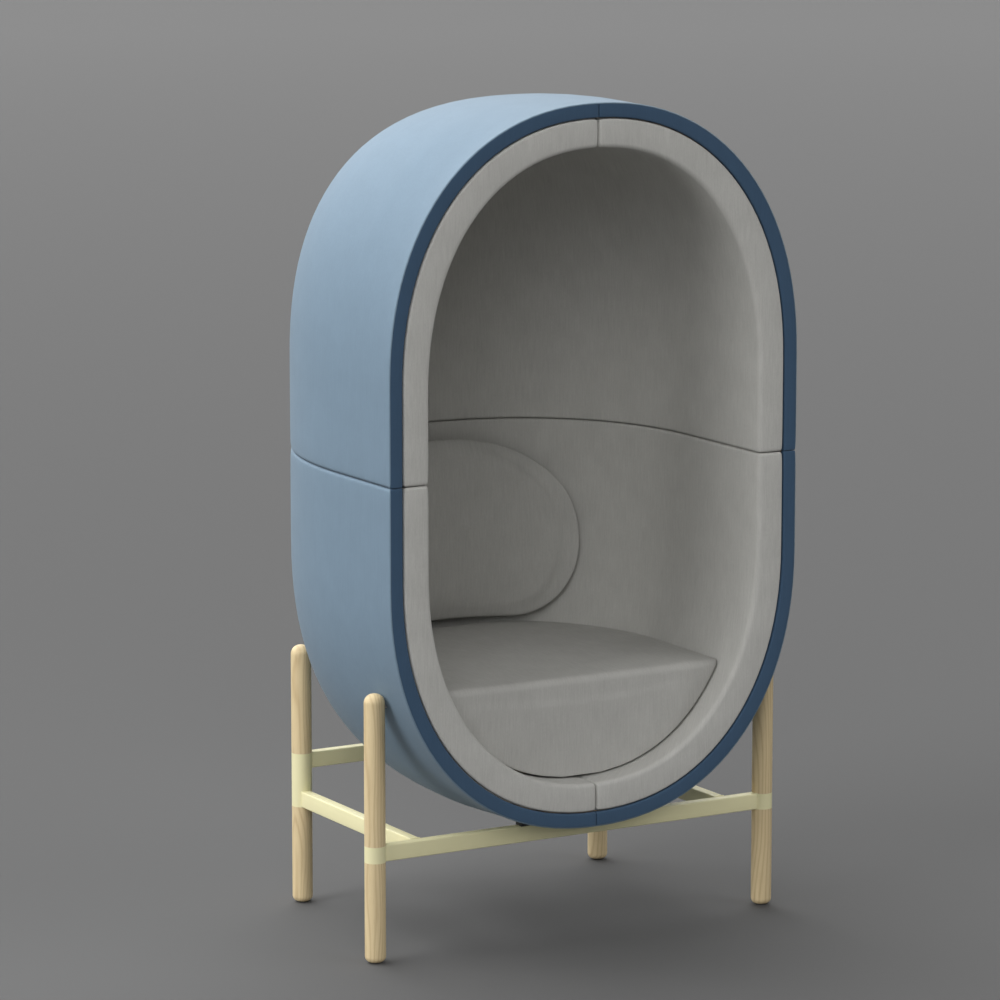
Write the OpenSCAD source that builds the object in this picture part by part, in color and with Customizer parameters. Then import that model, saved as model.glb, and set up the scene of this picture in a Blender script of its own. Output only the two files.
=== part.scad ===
// Pod chair: an upholstered pod split at mid height, standing on a steel frame with turned wooden legs.
// The front faces -Y. The origin is the middle of the footprint box, on the floor.

/* [Pod] */
// Overall width of the pod
pod_w = 849; // [820:1:870]
// Overall height of the pod alone
pod_h = 1311; // [1270:1:1350]
// Depth of the pod from the rim's front face to the back
pod_d = 703; // [690:1:730]
// Thickness of the padded wall, from the outer cover to the inner face of the liner
pod_wall = 81; // [76:1:86]
// Gap between the pod and the rails below it
pod_lift = 1.6; // [1:0.1:4]
// Depth at which the outer flanks start to draw in
flank_start = 187; // [150:1:220]
// Depth at which the outer top and bottom start to draw in
crown_start = 41; // [30:1:60]
// How much deeper the inner flanks stay straight
flank_lag = 66; // [40:1:80]
// How much deeper the inner top and bottom stay straight
crown_lag = 81; // [50:1:95]
// Height of the straight flank, as a share of the half height
straight_share = 0.271; // [0.25:0.001:0.3]
// Squareness of the rim's rounded ends, where 2 is an ellipse
rim_power = 2.2; // [2.1:0.01:2.4]
// Squareness of the rounded ends further back
body_power = 2.36; // [2.2:0.01:2.5]
// Squareness of the outer plan curve
plan_power = 2.28; // [2.1:0.01:2.5]
// Squareness of the outer side profile
profile_power = 3.44; // [3:0.01:4]

/* [Layers] */
// Thickness of the outer cover, felt on a thin foam
cover_t = 10; // [8:0.5:12]
// Thickness of the moulded plywood shell
shell_t = 16.2; // [14:0.2:18]
// Width of the dark edge band on the rim
band_w = 27; // [25:0.5:30]
// Depth of the dark edge band
band_t = 10; // [8:0.5:12]
// Width of the groove between the edge band and the liner
rim_groove = 2.5; // [1.5:0.1:3.5]
// Depth of that groove
groove_depth = 12; // [8:0.5:14]
// Rounding of the liner at the mouth of the pod
mouth_round = 9; // [6:0.5:12]
// Width of the groove round the pod at mid height
seam_gap = 2.4; // [1.5:0.1:3.5]
// Width of the upright seams at the top and bottom centre
panel_gap = 1.6; // [1:0.1:2.5]
// Thickness of the plywood rim board
rim_board_t = 18; // [15:0.5:21]
// Thickness of each seam flange
flange_t = 22; // [18:0.5:25]

/* [Seat] */
// Height of the seat's front edge above the floor
seat_h = 485; // [465:1:505]
// Height of the seat's front edge above the underside of the pod
seat_rise = 268; // [255:1:285]
// Distance of the seat's front face behind the rim
seat_set_back = 53; // [45:1:60]
// Thickness of the seat padding on top
seat_pad_t = 75; // [60:1:90]
// Thickness of the seat padding in front
apron_t = 32; // [25:1:40]
// Rounding of the seat's front edge
seat_round = 14; // [8:0.5:20]
// Rise of the seat in its middle
seat_crown = 4; // [2:0.5:6]
// Thickness of the plywood boards in the seat
seat_board_t = 15; // [12:0.5:18]
// Distance of each seat rib from the middle
seat_rib_x = 130; // [100:1:160]

/* [Back cushion] */
// Width of the back cushion, straight across
back_w = 510; // [480:1:545]
// Height of the back cushion
back_h = 361; // [330:1:380]
// Width of each of its rounded lower corners
back_corner_w = 113; // [90:1:140]
// Thickness of the back cushion in the middle
back_t = 50; // [40:1:60]
// Height of its widest place, as a share of its height
back_wide_share = 0.44; // [0.4:0.01:0.5]

/* [Legs] */
// Diameter of the legs
leg_d = 38; // [34:1:40]
// Height of the leg tops above the seat's front edge
leg_rise = 7; // [0:1:15]
// Clearance between the legs and the pod, beside the foot of their rounded tops
leg_gap = 1.6; // [1.6:0.1:4]
// Distance of the front legs behind the rim
leg_set_back = 83.5; // [70:0.5:95]
// Distance of the back legs in front of the pod's back
back_leg_inset = 173; // [160:1:190]
// Rounding of the leg tops
leg_top_round = 17; // [10:0.5:17]
// Rounding of the leg feet
leg_foot_round = 11; // [6:0.5:12]
// Diameter of the floor glides
glide_d = 14; // [12:0.5:16]
// Height of the floor glides below the wood
glide_h = 1.5; // [1:0.5:3]

/* [Frame] */
// Height of the frame rails
rail_h = 30; // [26:1:32]
// Thickness of the frame rails
rail_t = 20; // [16:1:24]
// Wall of the rail tubes and the sleeves
tube_wall = 2; // [1.5:0.1:2.5]
// Distance of the saddles from the middle
saddle_x = 95; // [80:1:105]
// Width of each saddle
saddle_w = 40; // [30:1:45]

/* [Fixings] */
// Diameter of the bolts
bolt_d = 8; // [6:1:10]
// Room beside the bolt heads inside the rails
bolt_head_room = 1.5; // [1:0.1:2]
// Height of the bolt heads
bolt_head_h = 7; // [5:0.5:8]
// Diameter of the dowels
dowel_d = 8; // [6:0.5:9]
// Length of the dowels
dowel_len = 28; // [20:1:34]
// Diameter of the leg screws
screw_d = 4; // [3:0.5:5]
// Diameter of the leg screws' heads
screw_head_d = 8; // [6:0.5:9]

/* [Hidden] */

$fn = 64;
light_blue = [0.5, 0.6, 0.68];
navy = [0.2, 0.28, 0.36];
liner_grey = [0.56, 0.56, 0.55];
seat_grey = [0.5, 0.5, 0.49];
ply = [0.82, 0.7, 0.5];
ash = [0.8, 0.72, 0.58];
cream = [0.86, 0.84, 0.68];
zinc = [0.7, 0.7, 0.72];
black = [0.15, 0.15, 0.15];

// Clearance between stacked layers, and the overrun of every cut and of parts that grow together
layer_gap = 0.4;
cut = 1;
// Clearance of a push fit and of a bolt in its hole
push_fit = 0.05;
bolt_clear = 0.4;

rim_y = -pod_d/2;
leg_h = seat_h + leg_rise;
low_rail_top = seat_h - seat_rise - pod_lift;
low_rail_z = low_rail_top - rail_h/2;
mid_z = low_rail_top + pod_lift + pod_h/2;
bolt_head_d = rail_t - 2*(tube_wall + bolt_head_room);

// Squareness of the inner faces
plan_power_inner = plan_power - 0.09;
profile_power_inner = profile_power + 1.75;
// Depth over which the rim outline stays the same, and over which it then turns squarer
rim_flat = 30;
blend_depth = 115;

// Where each layer starts, measured in from the outer face
shell_in = cover_t + layer_gap;
liner_in = shell_in + shell_t + layer_gap;
liner_rim_in = band_w + rim_groove;
board_front = band_t + layer_gap;
shell_front = board_front + rim_board_t + layer_gap;

// Number of steps on the straight flank, round each end, along the flank and along the dome
flank_steps = 2;
end_steps = 12;
quarter = flank_steps + end_steps;
near_rings = 3;
dome_rings = 8;

function blend(a, b, share) = a + (b - a)*share;
function narrowing(y, start, end, power) =
    y <= start ? 1 : y >= end ? 0 : pow(1 - pow((y - start)/(end - start), power), 1/power);

// Depth, width and height of the face that lies a distance in from the outer one
function face_start(in) = flank_start + flank_lag*in/pod_wall;
function face_plan(in) = blend(plan_power, plan_power_inner, in/pod_wall);
function half_w(in, y) = (pod_w/2 - in)*narrowing(y, face_start(in), pod_d - in, face_plan(in));
function half_h(in, y) =
    (pod_h/2 - in)*narrowing(y, crown_start + crown_lag*in/pod_wall, pod_d - in,
                             blend(profile_power, profile_power_inner, in/pod_wall));
function squareness(y) = blend(rim_power, body_power, min(1, max(0, y - rim_flat)/blend_depth));

// Point i of a quarter outline, from mid height on the flank to the top centre
function outline_point(in, y, i) =
    let (w = half_w(in, y), h = half_h(in, y), s = straight_share*h, a = 90*(i - flank_steps)/end_steps)
    i <= flank_steps ? [w, s*i/flank_steps]
                     : [w*pow(max(0, cos(a)), 2/squareness(y)), s + (h - s)*pow(sin(a), 2/squareness(y))];

// Half width of the face at a height above or below mid height, and its height over a place
function width_at(in, y, dz) =
    let (w = half_w(in, y), h = half_h(in, y), s = straight_share*h, n = squareness(y))
    dz <= s ? w : dz >= h ? 0 : w*pow(1 - pow((dz - s)/(h - s), n), 1/n);
function height_at(in, y, x) =
    let (w = half_w(in, y), h = half_h(in, y), s = straight_share*h, n = squareness(y))
    x >= w ? s : s + (h - s)*pow(1 - pow(x/w, n), 1/n);

// Places of the legs, each beside the pod, and of the back rail under it
leg_angle_step = 5;
function leg_x(depth) =
    leg_gap + max([for (a = [-90:leg_angle_step:90])
        width_at(0, depth + leg_d/2*sin(a), mid_z - leg_h + leg_top_round) + leg_d/2*cos(a)]);
back_leg_depth = pod_d - back_leg_inset;
front_leg_x = leg_x(leg_set_back);
back_leg_x = leg_x(back_leg_depth);
front_leg_y = rim_y + leg_set_back;
back_leg_y = rim_y + back_leg_depth;
back_rail_top = mid_z - half_h(0, back_leg_depth - rail_t/2) - pod_lift;
back_rail_z = back_rail_top - rail_h/2;

// Depths of the rings of a face, from the end of the flat rim to just before the back
function ring_depths(in) =
    let (start = face_start(in), end = pod_d - in)
    concat([for (k = [0:near_rings - 1]) rim_flat + (start - rim_flat)*k/near_rings],
           [for (k = [0:dome_rings - 1]) start + (end - start)*pow(sin(90*k/dome_rings), 2/face_plan(in))]);

// One ring of a quarter or of a half, held back from the seams by side_gap and low_gap
function ring(in, y, whole, side_gap, low_gap) =
    let (q = [for (i = [0:quarter]) let (p = outline_point(in, y, i)) [max(p[0], side_gap), max(p[1], low_gap)]],
         half = whole ? concat(q, [for (i = [quarter - 1:-1:0]) [-q[i][0], q[i][1]]]) : q)
    [for (p = half) [p[0], rim_y + y, mid_z + p[1]]];

// Two triangles between four points in order, split from the first to the third, or the other way
function split(a, b, c, d, other) = other ? [[a, b, d], [b, c, d]] : [[a, c, d], [a, b, c]];

// Faces between two matched grids of points, with an end point behind each grid where tip is true.
// From the column fold on, the faces are split the other way, so that both halves match
function slab_faces(rows, cols, tip, fold) =
    let (m = rows*cols, o = 2*m, t = 2*m + 1)
    concat(
        [for (j = [0:rows - 2], i = [0:cols - 2]) let (a = j*cols + i, d = a + cols) each concat(
            split(a, a + 1, d + 1, d, i >= fold),
            split(m + d, m + d + 1, m + a + 1, m + a, i < fold))],
        [for (i = [0:cols - 2]) each split(i + 1, i, m + i, m + i + 1, i < fold)],
        [for (j = [0:rows - 2]) each [
            [j*cols, m + (j + 1)*cols, m + j*cols],
            [j*cols, (j + 1)*cols, m + (j + 1)*cols],
            [j*cols + cols - 1, m + j*cols + cols - 1, m + (j + 1)*cols + cols - 1],
            [j*cols + cols - 1, m + (j + 1)*cols + cols - 1, (j + 1)*cols + cols - 1]]],
        let (last = (rows - 1)*cols, end = last + cols - 1)
        tip ? concat(
            [for (i = [0:cols - 2]) each [[last + i, last + i + 1, o], [m + last + i, t, m + last + i + 1]]],
            [[last, t, m + last], [last, o, t], [end, m + end, t], [end, t, o]])
        : [for (i = [0:cols - 2]) each [
            [last + i, last + i + 1, m + last + i + 1],
            [last + i, m + last + i + 1, m + last + i]]]);

module slab(outer, inner, tips, whole) {
    rows = len(outer);
    cols = len(outer[0]);
    polyhedron(points = concat([for (r = outer) each r], [for (r = inner) each r], tips),
               faces = slab_faces(rows, cols, len(tips) > 0, whole ? (cols - 1)/2 : cols), convexity = 6);
}

// A layer between two faces: front holds the rows [outer in, outer y, inner in, inner y] of its
// front edge, and the rings follow from there to the back
module layer(front, whole, side_gap) {
    low_gap = seam_gap/2;
    last = front[len(front) - 1];
    out_rows = concat([for (f = front) [f[0], f[1]]], [for (y = ring_depths(last[0])) [last[0], y]]);
    in_rows = concat([for (f = front) [f[2], f[3]]], [for (y = ring_depths(last[2])) [last[2], y]]);
    slab([for (r = out_rows) ring(r[0], r[1], whole, side_gap, low_gap)],
         [for (r = in_rows) ring(r[0], r[1], whole, side_gap, low_gap)],
         [for (in = [last[0], last[2]]) [whole ? 0 : side_gap, rim_y + pod_d - in, mid_z + low_gap]], whole);
}

module lower() {
    translate([0, 0, 2*mid_z]) mirror([0, 0, 1]) children();
}

module left() {
    mirror([1, 0, 0]) children();
}

// Outer cover. Its front edge is mitred against the edge band
mitre_gap = 0.5;
cover_lip = 0.9;
cover_chamfer = 1.2;
cover_front_depth = 14;

module outer_cover() {
    color(light_blue)
        layer([[cover_lip, 0, cover_t, cover_t - cover_lip],
               [0, cover_chamfer, cover_t, cover_t + cover_chamfer],
               [0, cover_front_depth, cover_t, cover_front_depth + cover_chamfer]],
              true, 0);
}

// Edge band, a quarter of the rim
module edge_band() {
    back_in = cover_lip + mitre_gap + band_t;
    rows = [[cover_lip + mitre_gap, 0, band_w - cover_chamfer, 0],
            [cover_lip + mitre_gap + cover_chamfer, cover_chamfer, band_w, cover_chamfer],
            [back_in, band_t, band_w, band_t]];
    color(navy)
        slab([for (r = rows) ring(r[0], r[1], false, panel_gap/2, panel_gap/2)],
             [for (r = rows) ring(r[2], r[3], false, panel_gap/2, panel_gap/2)], [], false);
}

// Moulded plywood shell behind the rim board, above its flange
module pod_shell() {
    color(ply)
        difference() {
            layer([[shell_in, shell_front, shell_in + shell_t, shell_front]], true, 0);
            translate([-pod_w/2, rim_y, mid_z - cut]) cube([pod_w, pod_d, flange_t + layer_gap + cut]);
        }
}

// Upper half of a face's outline in the plane of the rim
function rim_half(in) =
    let (q = [for (i = [0:quarter]) outline_point(in, 0, i)])
    concat(q, [for (i = [quarter - 1:-1:0]) [-q[i][0], q[i][1]]]);

module rim_board() {
    outer = rim_half(shell_in);
    inner = rim_half(shell_in + shell_t);
    color(ply)
        translate([0, rim_y + board_front + rim_board_t, mid_z]) rotate([90, 0, 0])
            linear_extrude(rim_board_t)
                polygon(concat(outer, [for (i = [len(inner) - 1:-1:0]) inner[i]]));
}

// Plan curve of a face, from the right of the rim board round the back to the left
function plan_half(in, tip_inset) =
    let (q = concat([[half_w(in, shell_front), shell_front]], [for (y = ring_depths(in)) [half_w(in, y), y]]))
    concat(q, [[0, pod_d - in - tip_inset]], [for (i = [len(q) - 1:-1:0]) [-q[i][0], q[i][1]]]);

// Places of the bolts and dowels along the flange, as shares of its depth
bolt_depth_shares = [0.2, 0.58, 0.88];
dowel_depth_shares = [0.12, 0.44, 0.79];
flange_mid_in = shell_in + shell_t/2;

function flange_places(shares) =
    [for (share = shares, side = [-1, 1]) let (y = share*(pod_d - flange_mid_in))
        [side*half_w(flange_mid_in, y), rim_y + y, mid_z]];

// The flange bolts are smaller than those that hold the pod to the frame
flange_bolt_d = 6;
flange_head_d = 10;
flange_head_h = 5;
counterbore_d = flange_head_d + 2*bolt_clear;
counterbore_depth = flange_head_h + layer_gap;
flange_hole_h = 2*flange_t;
flange_tip_inset = 1;

module seam_flange() {
    outer = plan_half(shell_in, flange_tip_inset);
    inner = plan_half(shell_in + shell_t, 0);
    color(ply)
        difference() {
            translate([0, rim_y, mid_z]) linear_extrude(flange_t)
                polygon(concat(outer, [for (i = [len(inner) - 1:-1:0]) inner[i]]));
            for (p = flange_places(bolt_depth_shares)) translate(p) {
                translate([0, 0, -cut]) cylinder(d = flange_bolt_d + bolt_clear, h = flange_hole_h);
                translate([0, 0, flange_t - counterbore_depth]) cylinder(d = counterbore_d, h = flange_hole_h);
            }
            for (p = flange_places(dowel_depth_shares)) translate(p)
                translate([0, 0, -cut]) cylinder(d = dowel_d + 2*push_fit, h = dowel_len/2 + layer_gap + cut);
        }
}

module flange_bolts() {
    grip = flange_t - counterbore_depth;
    color(zinc)
        for (p = flange_places(bolt_depth_shares)) translate(p) {
            translate([0, 0, grip]) cylinder(d = flange_head_d, h = flange_head_h);
            translate([0, 0, -flange_t + cut]) cylinder(d = flange_bolt_d, h = grip + flange_t - cut);
        }
}

module flange_nuts() {
    color(zinc)
        for (p = flange_places(bolt_depth_shares)) translate(p)
            translate([0, 0, counterbore_depth - flange_t - flange_head_h])
                difference() {
                    cylinder(d = flange_head_d, h = flange_head_h, $fn = 6);
                    translate([0, 0, -cut]) cylinder(d = flange_bolt_d + 2*push_fit, h = flange_head_h + 2*cut);
                }
}

module flange_dowels() {
    color(ash)
        for (p = flange_places(dowel_depth_shares)) translate(p)
            translate([0, 0, -dowel_len/2]) cylinder(d = dowel_d, h = dowel_len);
}

// Liner pad, a quarter of the inside and of the rim
liner_edge_round = 2.5;
round_share = 0.293;

module liner() {
    r = mouth_round;
    e = liner_edge_round;
    color(liner_grey)
        layer([[liner_rim_in + e, 0, pod_wall - r, 0],
               [liner_rim_in + round_share*e, round_share*e, pod_wall - round_share*r, round_share*r],
               [liner_rim_in, e, pod_wall, r],
               [liner_rim_in, groove_depth, pod_wall, groove_depth + r],
               [liner_in, groove_depth + cut, pod_wall, groove_depth + cut + r]],
              false, panel_gap/2);
}

// Seat. Its boards and padding follow the liner, with more room where the liner is faceted
seat_clear = 1.2;
seat_clear_deep = 4;
seat_deep_share = 0.2;
pad_gap = 0.4;
seat_back_gap = 10;
deck_top = seat_h - seat_pad_t - pad_gap;
board_y = seat_set_back + apron_t + pad_gap;
function seat_in(y) =
    pod_wall + blend(seat_clear, seat_clear_deep, min(1, max(0, (y - board_y)/(seat_deep_share*pod_d))));
function seat_half(y, z) = width_at(seat_in(y), y, mid_z - z);

// Depth of the liner's face on the centre line at a height, found by halving the interval
function back_depth(in, dz, low, high, n) =
    n == 0 ? low : let (m = (low + high)/2) half_h(in, m) > dz ? back_depth(in, dz, m, high, n - 1)
                                                              : back_depth(in, dz, low, m, n - 1);
halvings = 20;
function seat_wall(z) =
    back_depth(pod_wall + seat_clear_deep, mid_z - z, crown_start, pod_d - pod_wall, halvings);
seat_back_y = seat_wall(deck_top) - seat_back_gap;

deck_steps = 12;
deck_margin = 1;
front_board_gap = 0.9;

module seat_deck() {
    z = deck_top - seat_board_t;
    back_y = seat_wall(z) - seat_back_gap;
    depths = [for (k = [0:deck_steps]) board_y + (back_y - board_y)*sin(90*k/deck_steps)];
    right = [for (y = depths) [seat_half(y, z) - deck_margin, rim_y + y]];
    color(ply)
        translate([0, 0, z]) linear_extrude(seat_board_t)
            polygon(concat(right, [for (i = [len(right) - 1:-1:0]) [-right[i][0], right[i][1]]]));
}

module seat_front_board() {
    in = pod_wall + front_board_gap;
    top = mid_z - (deck_top - seat_board_t - pad_gap);
    arc = [for (i = [0:quarter]) let (p = outline_point(in, board_y, i)) if (p[1] > top) p];
    right = concat([[width_at(in, board_y, top), top]], arc);
    color(ply)
        translate([0, rim_y + board_y + seat_board_t, mid_z]) rotate([90, 0, 0])
            linear_extrude(seat_board_t)
                polygon([for (p = concat(right, [for (i = [len(right) - 2:-1:0]) [-right[i][0], right[i][1]]]))
                    [p[0], -p[1]]]);
}

rib_steps = 10;
rib_drop = 12;

module seat_rib() {
    first = board_y + seat_board_t + pad_gap;
    top = deck_top - seat_board_t - pad_gap;
    x = seat_rib_x + seat_board_t;
    last = seat_wall(top - rib_drop) - seat_rib_x;
    floor = [for (k = [0:rib_steps]) let (y = first + (last - first)*k/rib_steps)
        [y, mid_z - height_at(pod_wall + seat_clear_deep, y, x)]];
    color(ply)
        translate([seat_rib_x, rim_y, 0]) rotate([90, 0, 90])
            linear_extrude(seat_board_t)
                polygon(concat([[last, top], [first, top]], floor));
}

// Rows of the seat padding, up its front face, round its front edge and back along its top
seat_low_shares = [0.02, 0.06, 0.13, 0.22, 0.34, 0.48, 0.64, 0.82];
seat_edge_steps = 3;
seat_top_steps = 9;
seat_cols = 14;
edge_share = 0.995;

module seat_cushion() {
    floor_z = mid_z - half_h(pod_wall + seat_clear, seat_set_back);
    edge_z = seat_h - seat_round;
    under = deck_top + pad_gap;
    front = [for (share = seat_low_shares) let (z = blend(floor_z, edge_z, share))
        [seat_set_back, z, board_y - pad_gap, min(z, under), 0]];
    edge = [for (k = [0:seat_edge_steps]) let (a = 90*k/seat_edge_steps, share = (k + 1)/(seat_edge_steps + 2))
        [seat_set_back + seat_round*(1 - cos(a)), edge_z + seat_round*sin(a),
         board_y - pad_gap + share*seat_round, under, 0]];
    top = [for (k = [1:seat_top_steps]) let (share = sin(90*k/seat_top_steps),
            y = blend(seat_set_back + seat_round, seat_back_y, share))
        [y, seat_h, max(y, board_y + seat_round), under, sin(180*share)]];
    rows = concat(front, edge, top);
    function across(y, z, crown, pull) =
        [for (i = [0:seat_cols]) let (u = 2*i/seat_cols - 1)
            [-u*seat_half(y, z)*pull, rim_y + y, z + crown*seat_crown*(1 - pow(u, 4))]];
    color(seat_grey)
        slab([for (r = rows) across(r[0], r[1], r[4], edge_share)],
             [for (r = rows) across(r[2], r[3], 0, 1)], [], true);
}

// Back cushion, which leans on the liner and stands just above the seat
back_gap = 0.3;
back_lift = 1.5;
back_rings = 4;
back_half_cols = 16;
back_corner_steps = back_half_cols/2 - 1;
back_z = seat_h + seat_crown + back_lift;
back_mid_z = back_z + back_wide_share*back_h;
// Squareness of its upper outline, and of its edge
back_top_power = 2.38;
back_edge_power = 3;

// Depth of the liner's face at a place, found by halving the interval
function wall_depth(in, x, dz, low, high, n) =
    n == 0 ? low : let (m = (low + high)/2) width_at(in, m, dz) > x ? wall_depth(in, x, dz, m, high, n - 1)
                                                                   : wall_depth(in, x, dz, low, m, n - 1);
function back_wall(x, z) =
    wall_depth(pod_wall + seat_clear_deep, abs(x), abs(mid_z - z), 0, pod_d - pod_wall - seat_clear_deep, halvings);

// Point i of the outline over the top, from right to left, and along the bottom, from left to right
function back_over(i) =
    let (c = cos(180*i/back_half_cols), s = sin(180*i/back_half_cols))
    [sign(c)*back_w/2*pow(abs(c), 2/back_top_power), (1 - back_wide_share)*back_h*pow(s, 2/back_top_power)];
function back_under(i) =
    let (a = 90*min(1, i/back_corner_steps, (back_half_cols - i)/back_corner_steps))
    [sign(i - back_half_cols/2)*(back_w/2 - back_corner_w*(1 - cos(a))), -back_wide_share*back_h*sin(a)];
back_outline = concat([for (i = [0:back_half_cols]) back_over(i)],
                      [for (i = [1:back_half_cols - 1]) back_under(i)]);

module back_cushion() {
    shares = [for (k = [0:back_rings]) sin(90*(k + 1)/(back_rings + 1))];
    function face(share, front) =
        [for (o = back_outline) let (p = [share*o[0], back_mid_z + share*o[1]],
                swell = pow(1 - pow(share, back_edge_power), 1/back_edge_power))
            [p[0], rim_y + back_wall(p[0], p[1]) - back_gap - back_t/2 + (front ? -1 : 1)*swell*back_t/2, p[1]]];
    points = concat([for (share = shares) each face(share, true)],
                    [for (k = [back_rings - 1:-1:0]) each face(shares[k], false)],
                    [for (front = [true, false]) face(0, front)[0]]);
    n = len(back_outline);
    rows = 2*back_rings + 1;
    color(seat_grey)
        polyhedron(points = points, faces = concat(
            [for (j = [0:rows - 2], i = [0:n - 1]) let (k = (i + 1) % n) each [
                [j*n + i, j*n + k, (j + 1)*n + k], [j*n + i, (j + 1)*n + k, (j + 1)*n + i]]],
            [for (i = [0:n - 1]) let (k = (i + 1) % n) each [
                [rows*n, k, i], [rows*n + 1, (rows - 1)*n + i, (rows - 1)*n + k]]]), convexity = 4);
}

// Legs, each of a post above its sleeve and a foot below, with a spigot from each inside the sleeve
spigot_d = leg_d - 2*tube_wall - 2*push_fit;
low_sleeve_z = low_rail_z - rail_h/2;
back_sleeve_mid = (low_sleeve_z + back_rail_top)/2;
glide_pin_d = 5;
glide_pin_h = 14;

// Right half of a rod's outline from z0 to z1, rounded at z1
round_steps = 8;
function rod_end(r, z0, z1, round) =
    concat([[0, z0], [r, z0]], [for (k = [0:round_steps]) let (a = 90*k/round_steps)
        [r - round*(1 - cos(a)), z1 - round*(1 - sin(a))]], [[0, z1]]);

module leg_post(x, y, mid, top) {
    color(ash)
        translate([x, y, 0]) {
            rotate_extrude() polygon(rod_end(leg_d/2, top, leg_h, leg_top_round));
            translate([0, 0, mid]) cylinder(d = spigot_d, h = top - mid + cut);
        }
}

module leg_foot(x, y, mid) {
    color(ash)
        difference() {
            translate([x, y, 0]) {
                translate([0, 0, low_sleeve_z + glide_h]) mirror([0, 0, 1])
                    rotate_extrude() polygon(rod_end(leg_d/2, glide_h, low_sleeve_z, leg_foot_round));
                translate([0, 0, low_sleeve_z - cut])
                    cylinder(d = spigot_d, h = mid - low_sleeve_z - layer_gap + cut);
            }
            translate([x, y, -cut]) cylinder(d = glide_pin_d + 2*push_fit, h = glide_pin_h + glide_h + cut);
        }
}

module sleeve(x, y, top) {
    color(cream)
        translate([x, y, low_sleeve_z])
            difference() {
                cylinder(d = leg_d, h = top - low_sleeve_z);
                translate([0, 0, -cut]) cylinder(d = leg_d - 2*tube_wall, h = top - low_sleeve_z + 2*cut);
                for (z = sleeve_screws(top - low_sleeve_z)) translate([0, 0, z]) rotate([-90, 0, 0])
                    cylinder(d = screw_d + 2*push_fit, h = leg_d);
            }
}

// Frame rails of rectangular tube, coped where they meet a sleeve
module tube_bar(length) {
    rotate([90, 0, 90]) linear_extrude(length, center = true)
        difference() {
            square([rail_t, rail_h], center = true);
            square([rail_t - 2*tube_wall, rail_h - 2*tube_wall], center = true);
        }
}

module cross_rail(leg_x, y, z) {
    color(cream)
        difference() {
            translate([0, y, z]) tube_bar(2*leg_x);
            for (side = [-1, 1]) translate([side*leg_x, y, z - rail_h]) cylinder(d = leg_d, h = 2*rail_h);
            for (side = [-1, 1]) translate([side*saddle_x, y, z]) {
                cylinder(d = bolt_d + bolt_clear, h = rail_h);
                mirror([0, 0, 1]) cylinder(d = bolt_head_d + bolt_clear, h = rail_h);
            }
        }
}

module side_rail() {
    first = front_leg_y + rail_t/2;
    color(cream)
        difference() {
            translate([back_leg_x, (first + back_leg_y)/2, low_rail_z]) rotate([0, 0, 90])
                tube_bar(back_leg_y - first);
            translate([back_leg_x, back_leg_y, low_rail_z - rail_h]) cylinder(d = leg_d, h = 2*rail_h);
        }
}

// Saddles between the rails and the pod, each cut to the slope of the cover above it
saddle_gap = 0.6;

module saddle(y, rail_top) {
    hw = saddle_w/2;
    ht = rail_t/2;
    corners = [[-hw, -ht], [hw, -ht], [hw, ht], [-hw, ht]];
    depth = y - rim_y;
    tops = [for (c = corners) [saddle_x + c[0], y + c[1],
        mid_z - height_at(0, depth + c[1], saddle_x + c[0]) - saddle_gap]];
    color(black)
        difference() {
            polyhedron(points = concat([for (c = corners) [saddle_x + c[0], y + c[1], rail_top]], tops),
                       faces = [[0, 1, 2, 3], [4, 6, 5], [4, 7, 6], [0, 4, 5, 1], [1, 5, 6, 2], [2, 6, 7, 3],
                                [3, 7, 4, 0]]);
            translate([saddle_x, y, rail_top - cut]) cylinder(d = bolt_d + bolt_clear, h = rail_h + 2*cut);
        }
}

module saddles(y, rail_top) {
    saddle(y, rail_top);
    left() saddle(y, rail_top);
}

// Bolts from inside the rails, up through the saddles into threaded inserts in the pod's floor
insert_d = 11;
insert_len = 12;
insert_lift = 5.5;
pod_fixings = [[front_leg_y, low_rail_z], [back_leg_y, back_rail_z]];
function insert_low(y) = mid_z - height_at(0, y - rim_y, saddle_x) + insert_lift;

module each_pod_fixing(hole) {
    for (f = pod_fixings, side = [-1, 1])
        translate([side*saddle_x, f[0], 0]) {
            if (hole) {
                translate([0, 0, f[1]]) cylinder(d = bolt_d + bolt_clear, h = insert_low(f[0]) - f[1] + cut);
                translate([0, 0, insert_low(f[0])]) cylinder(d = insert_d + 2*push_fit, h = insert_len + cut);
            } else {
                head_z = f[1] + rail_h/2 - tube_wall - bolt_head_h;
                translate([0, 0, head_z]) cylinder(d = bolt_head_d, h = bolt_head_h);
                translate([0, 0, head_z + cut])
                    cylinder(d = bolt_d, h = insert_low(f[0]) + insert_len - 2*cut - head_z);
            }
        }
}

module pod_inserts() {
    color(zinc)
        for (f = pod_fixings, side = [-1, 1])
            translate([side*saddle_x, f[0], insert_low(f[0])])
                difference() {
                    cylinder(d = insert_d, h = insert_len);
                    translate([0, 0, -cut]) cylinder(d = bolt_d + 2*push_fit, h = insert_len + 2*cut);
                }
}

// Studs that hold the leg tops to the shell
stud_drop = 25;
stud_d = 6;
stud_z = leg_h - stud_drop;
function stud_reach(leg_y) = width_at(shell_in + shell_t/2, leg_y - rim_y, mid_z - stud_z);

module leg_studs(grow) {
    for (l = [[front_leg_x, front_leg_y], [back_leg_x, back_leg_y]], side = [-1, 1])
        translate([side*stud_reach(l[1]), l[1], stud_z]) rotate([0, side*90, 0])
            cylinder(d = stud_d + 2*grow, h = l[0] - stud_reach(l[1]));
}

// Screws through each sleeve into the two spigots, on the side away from the front
function sleeve_screws(height) = [height/4, 3*height/4];
screw_len = 14;
screw_head_h = 2.4;

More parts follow.
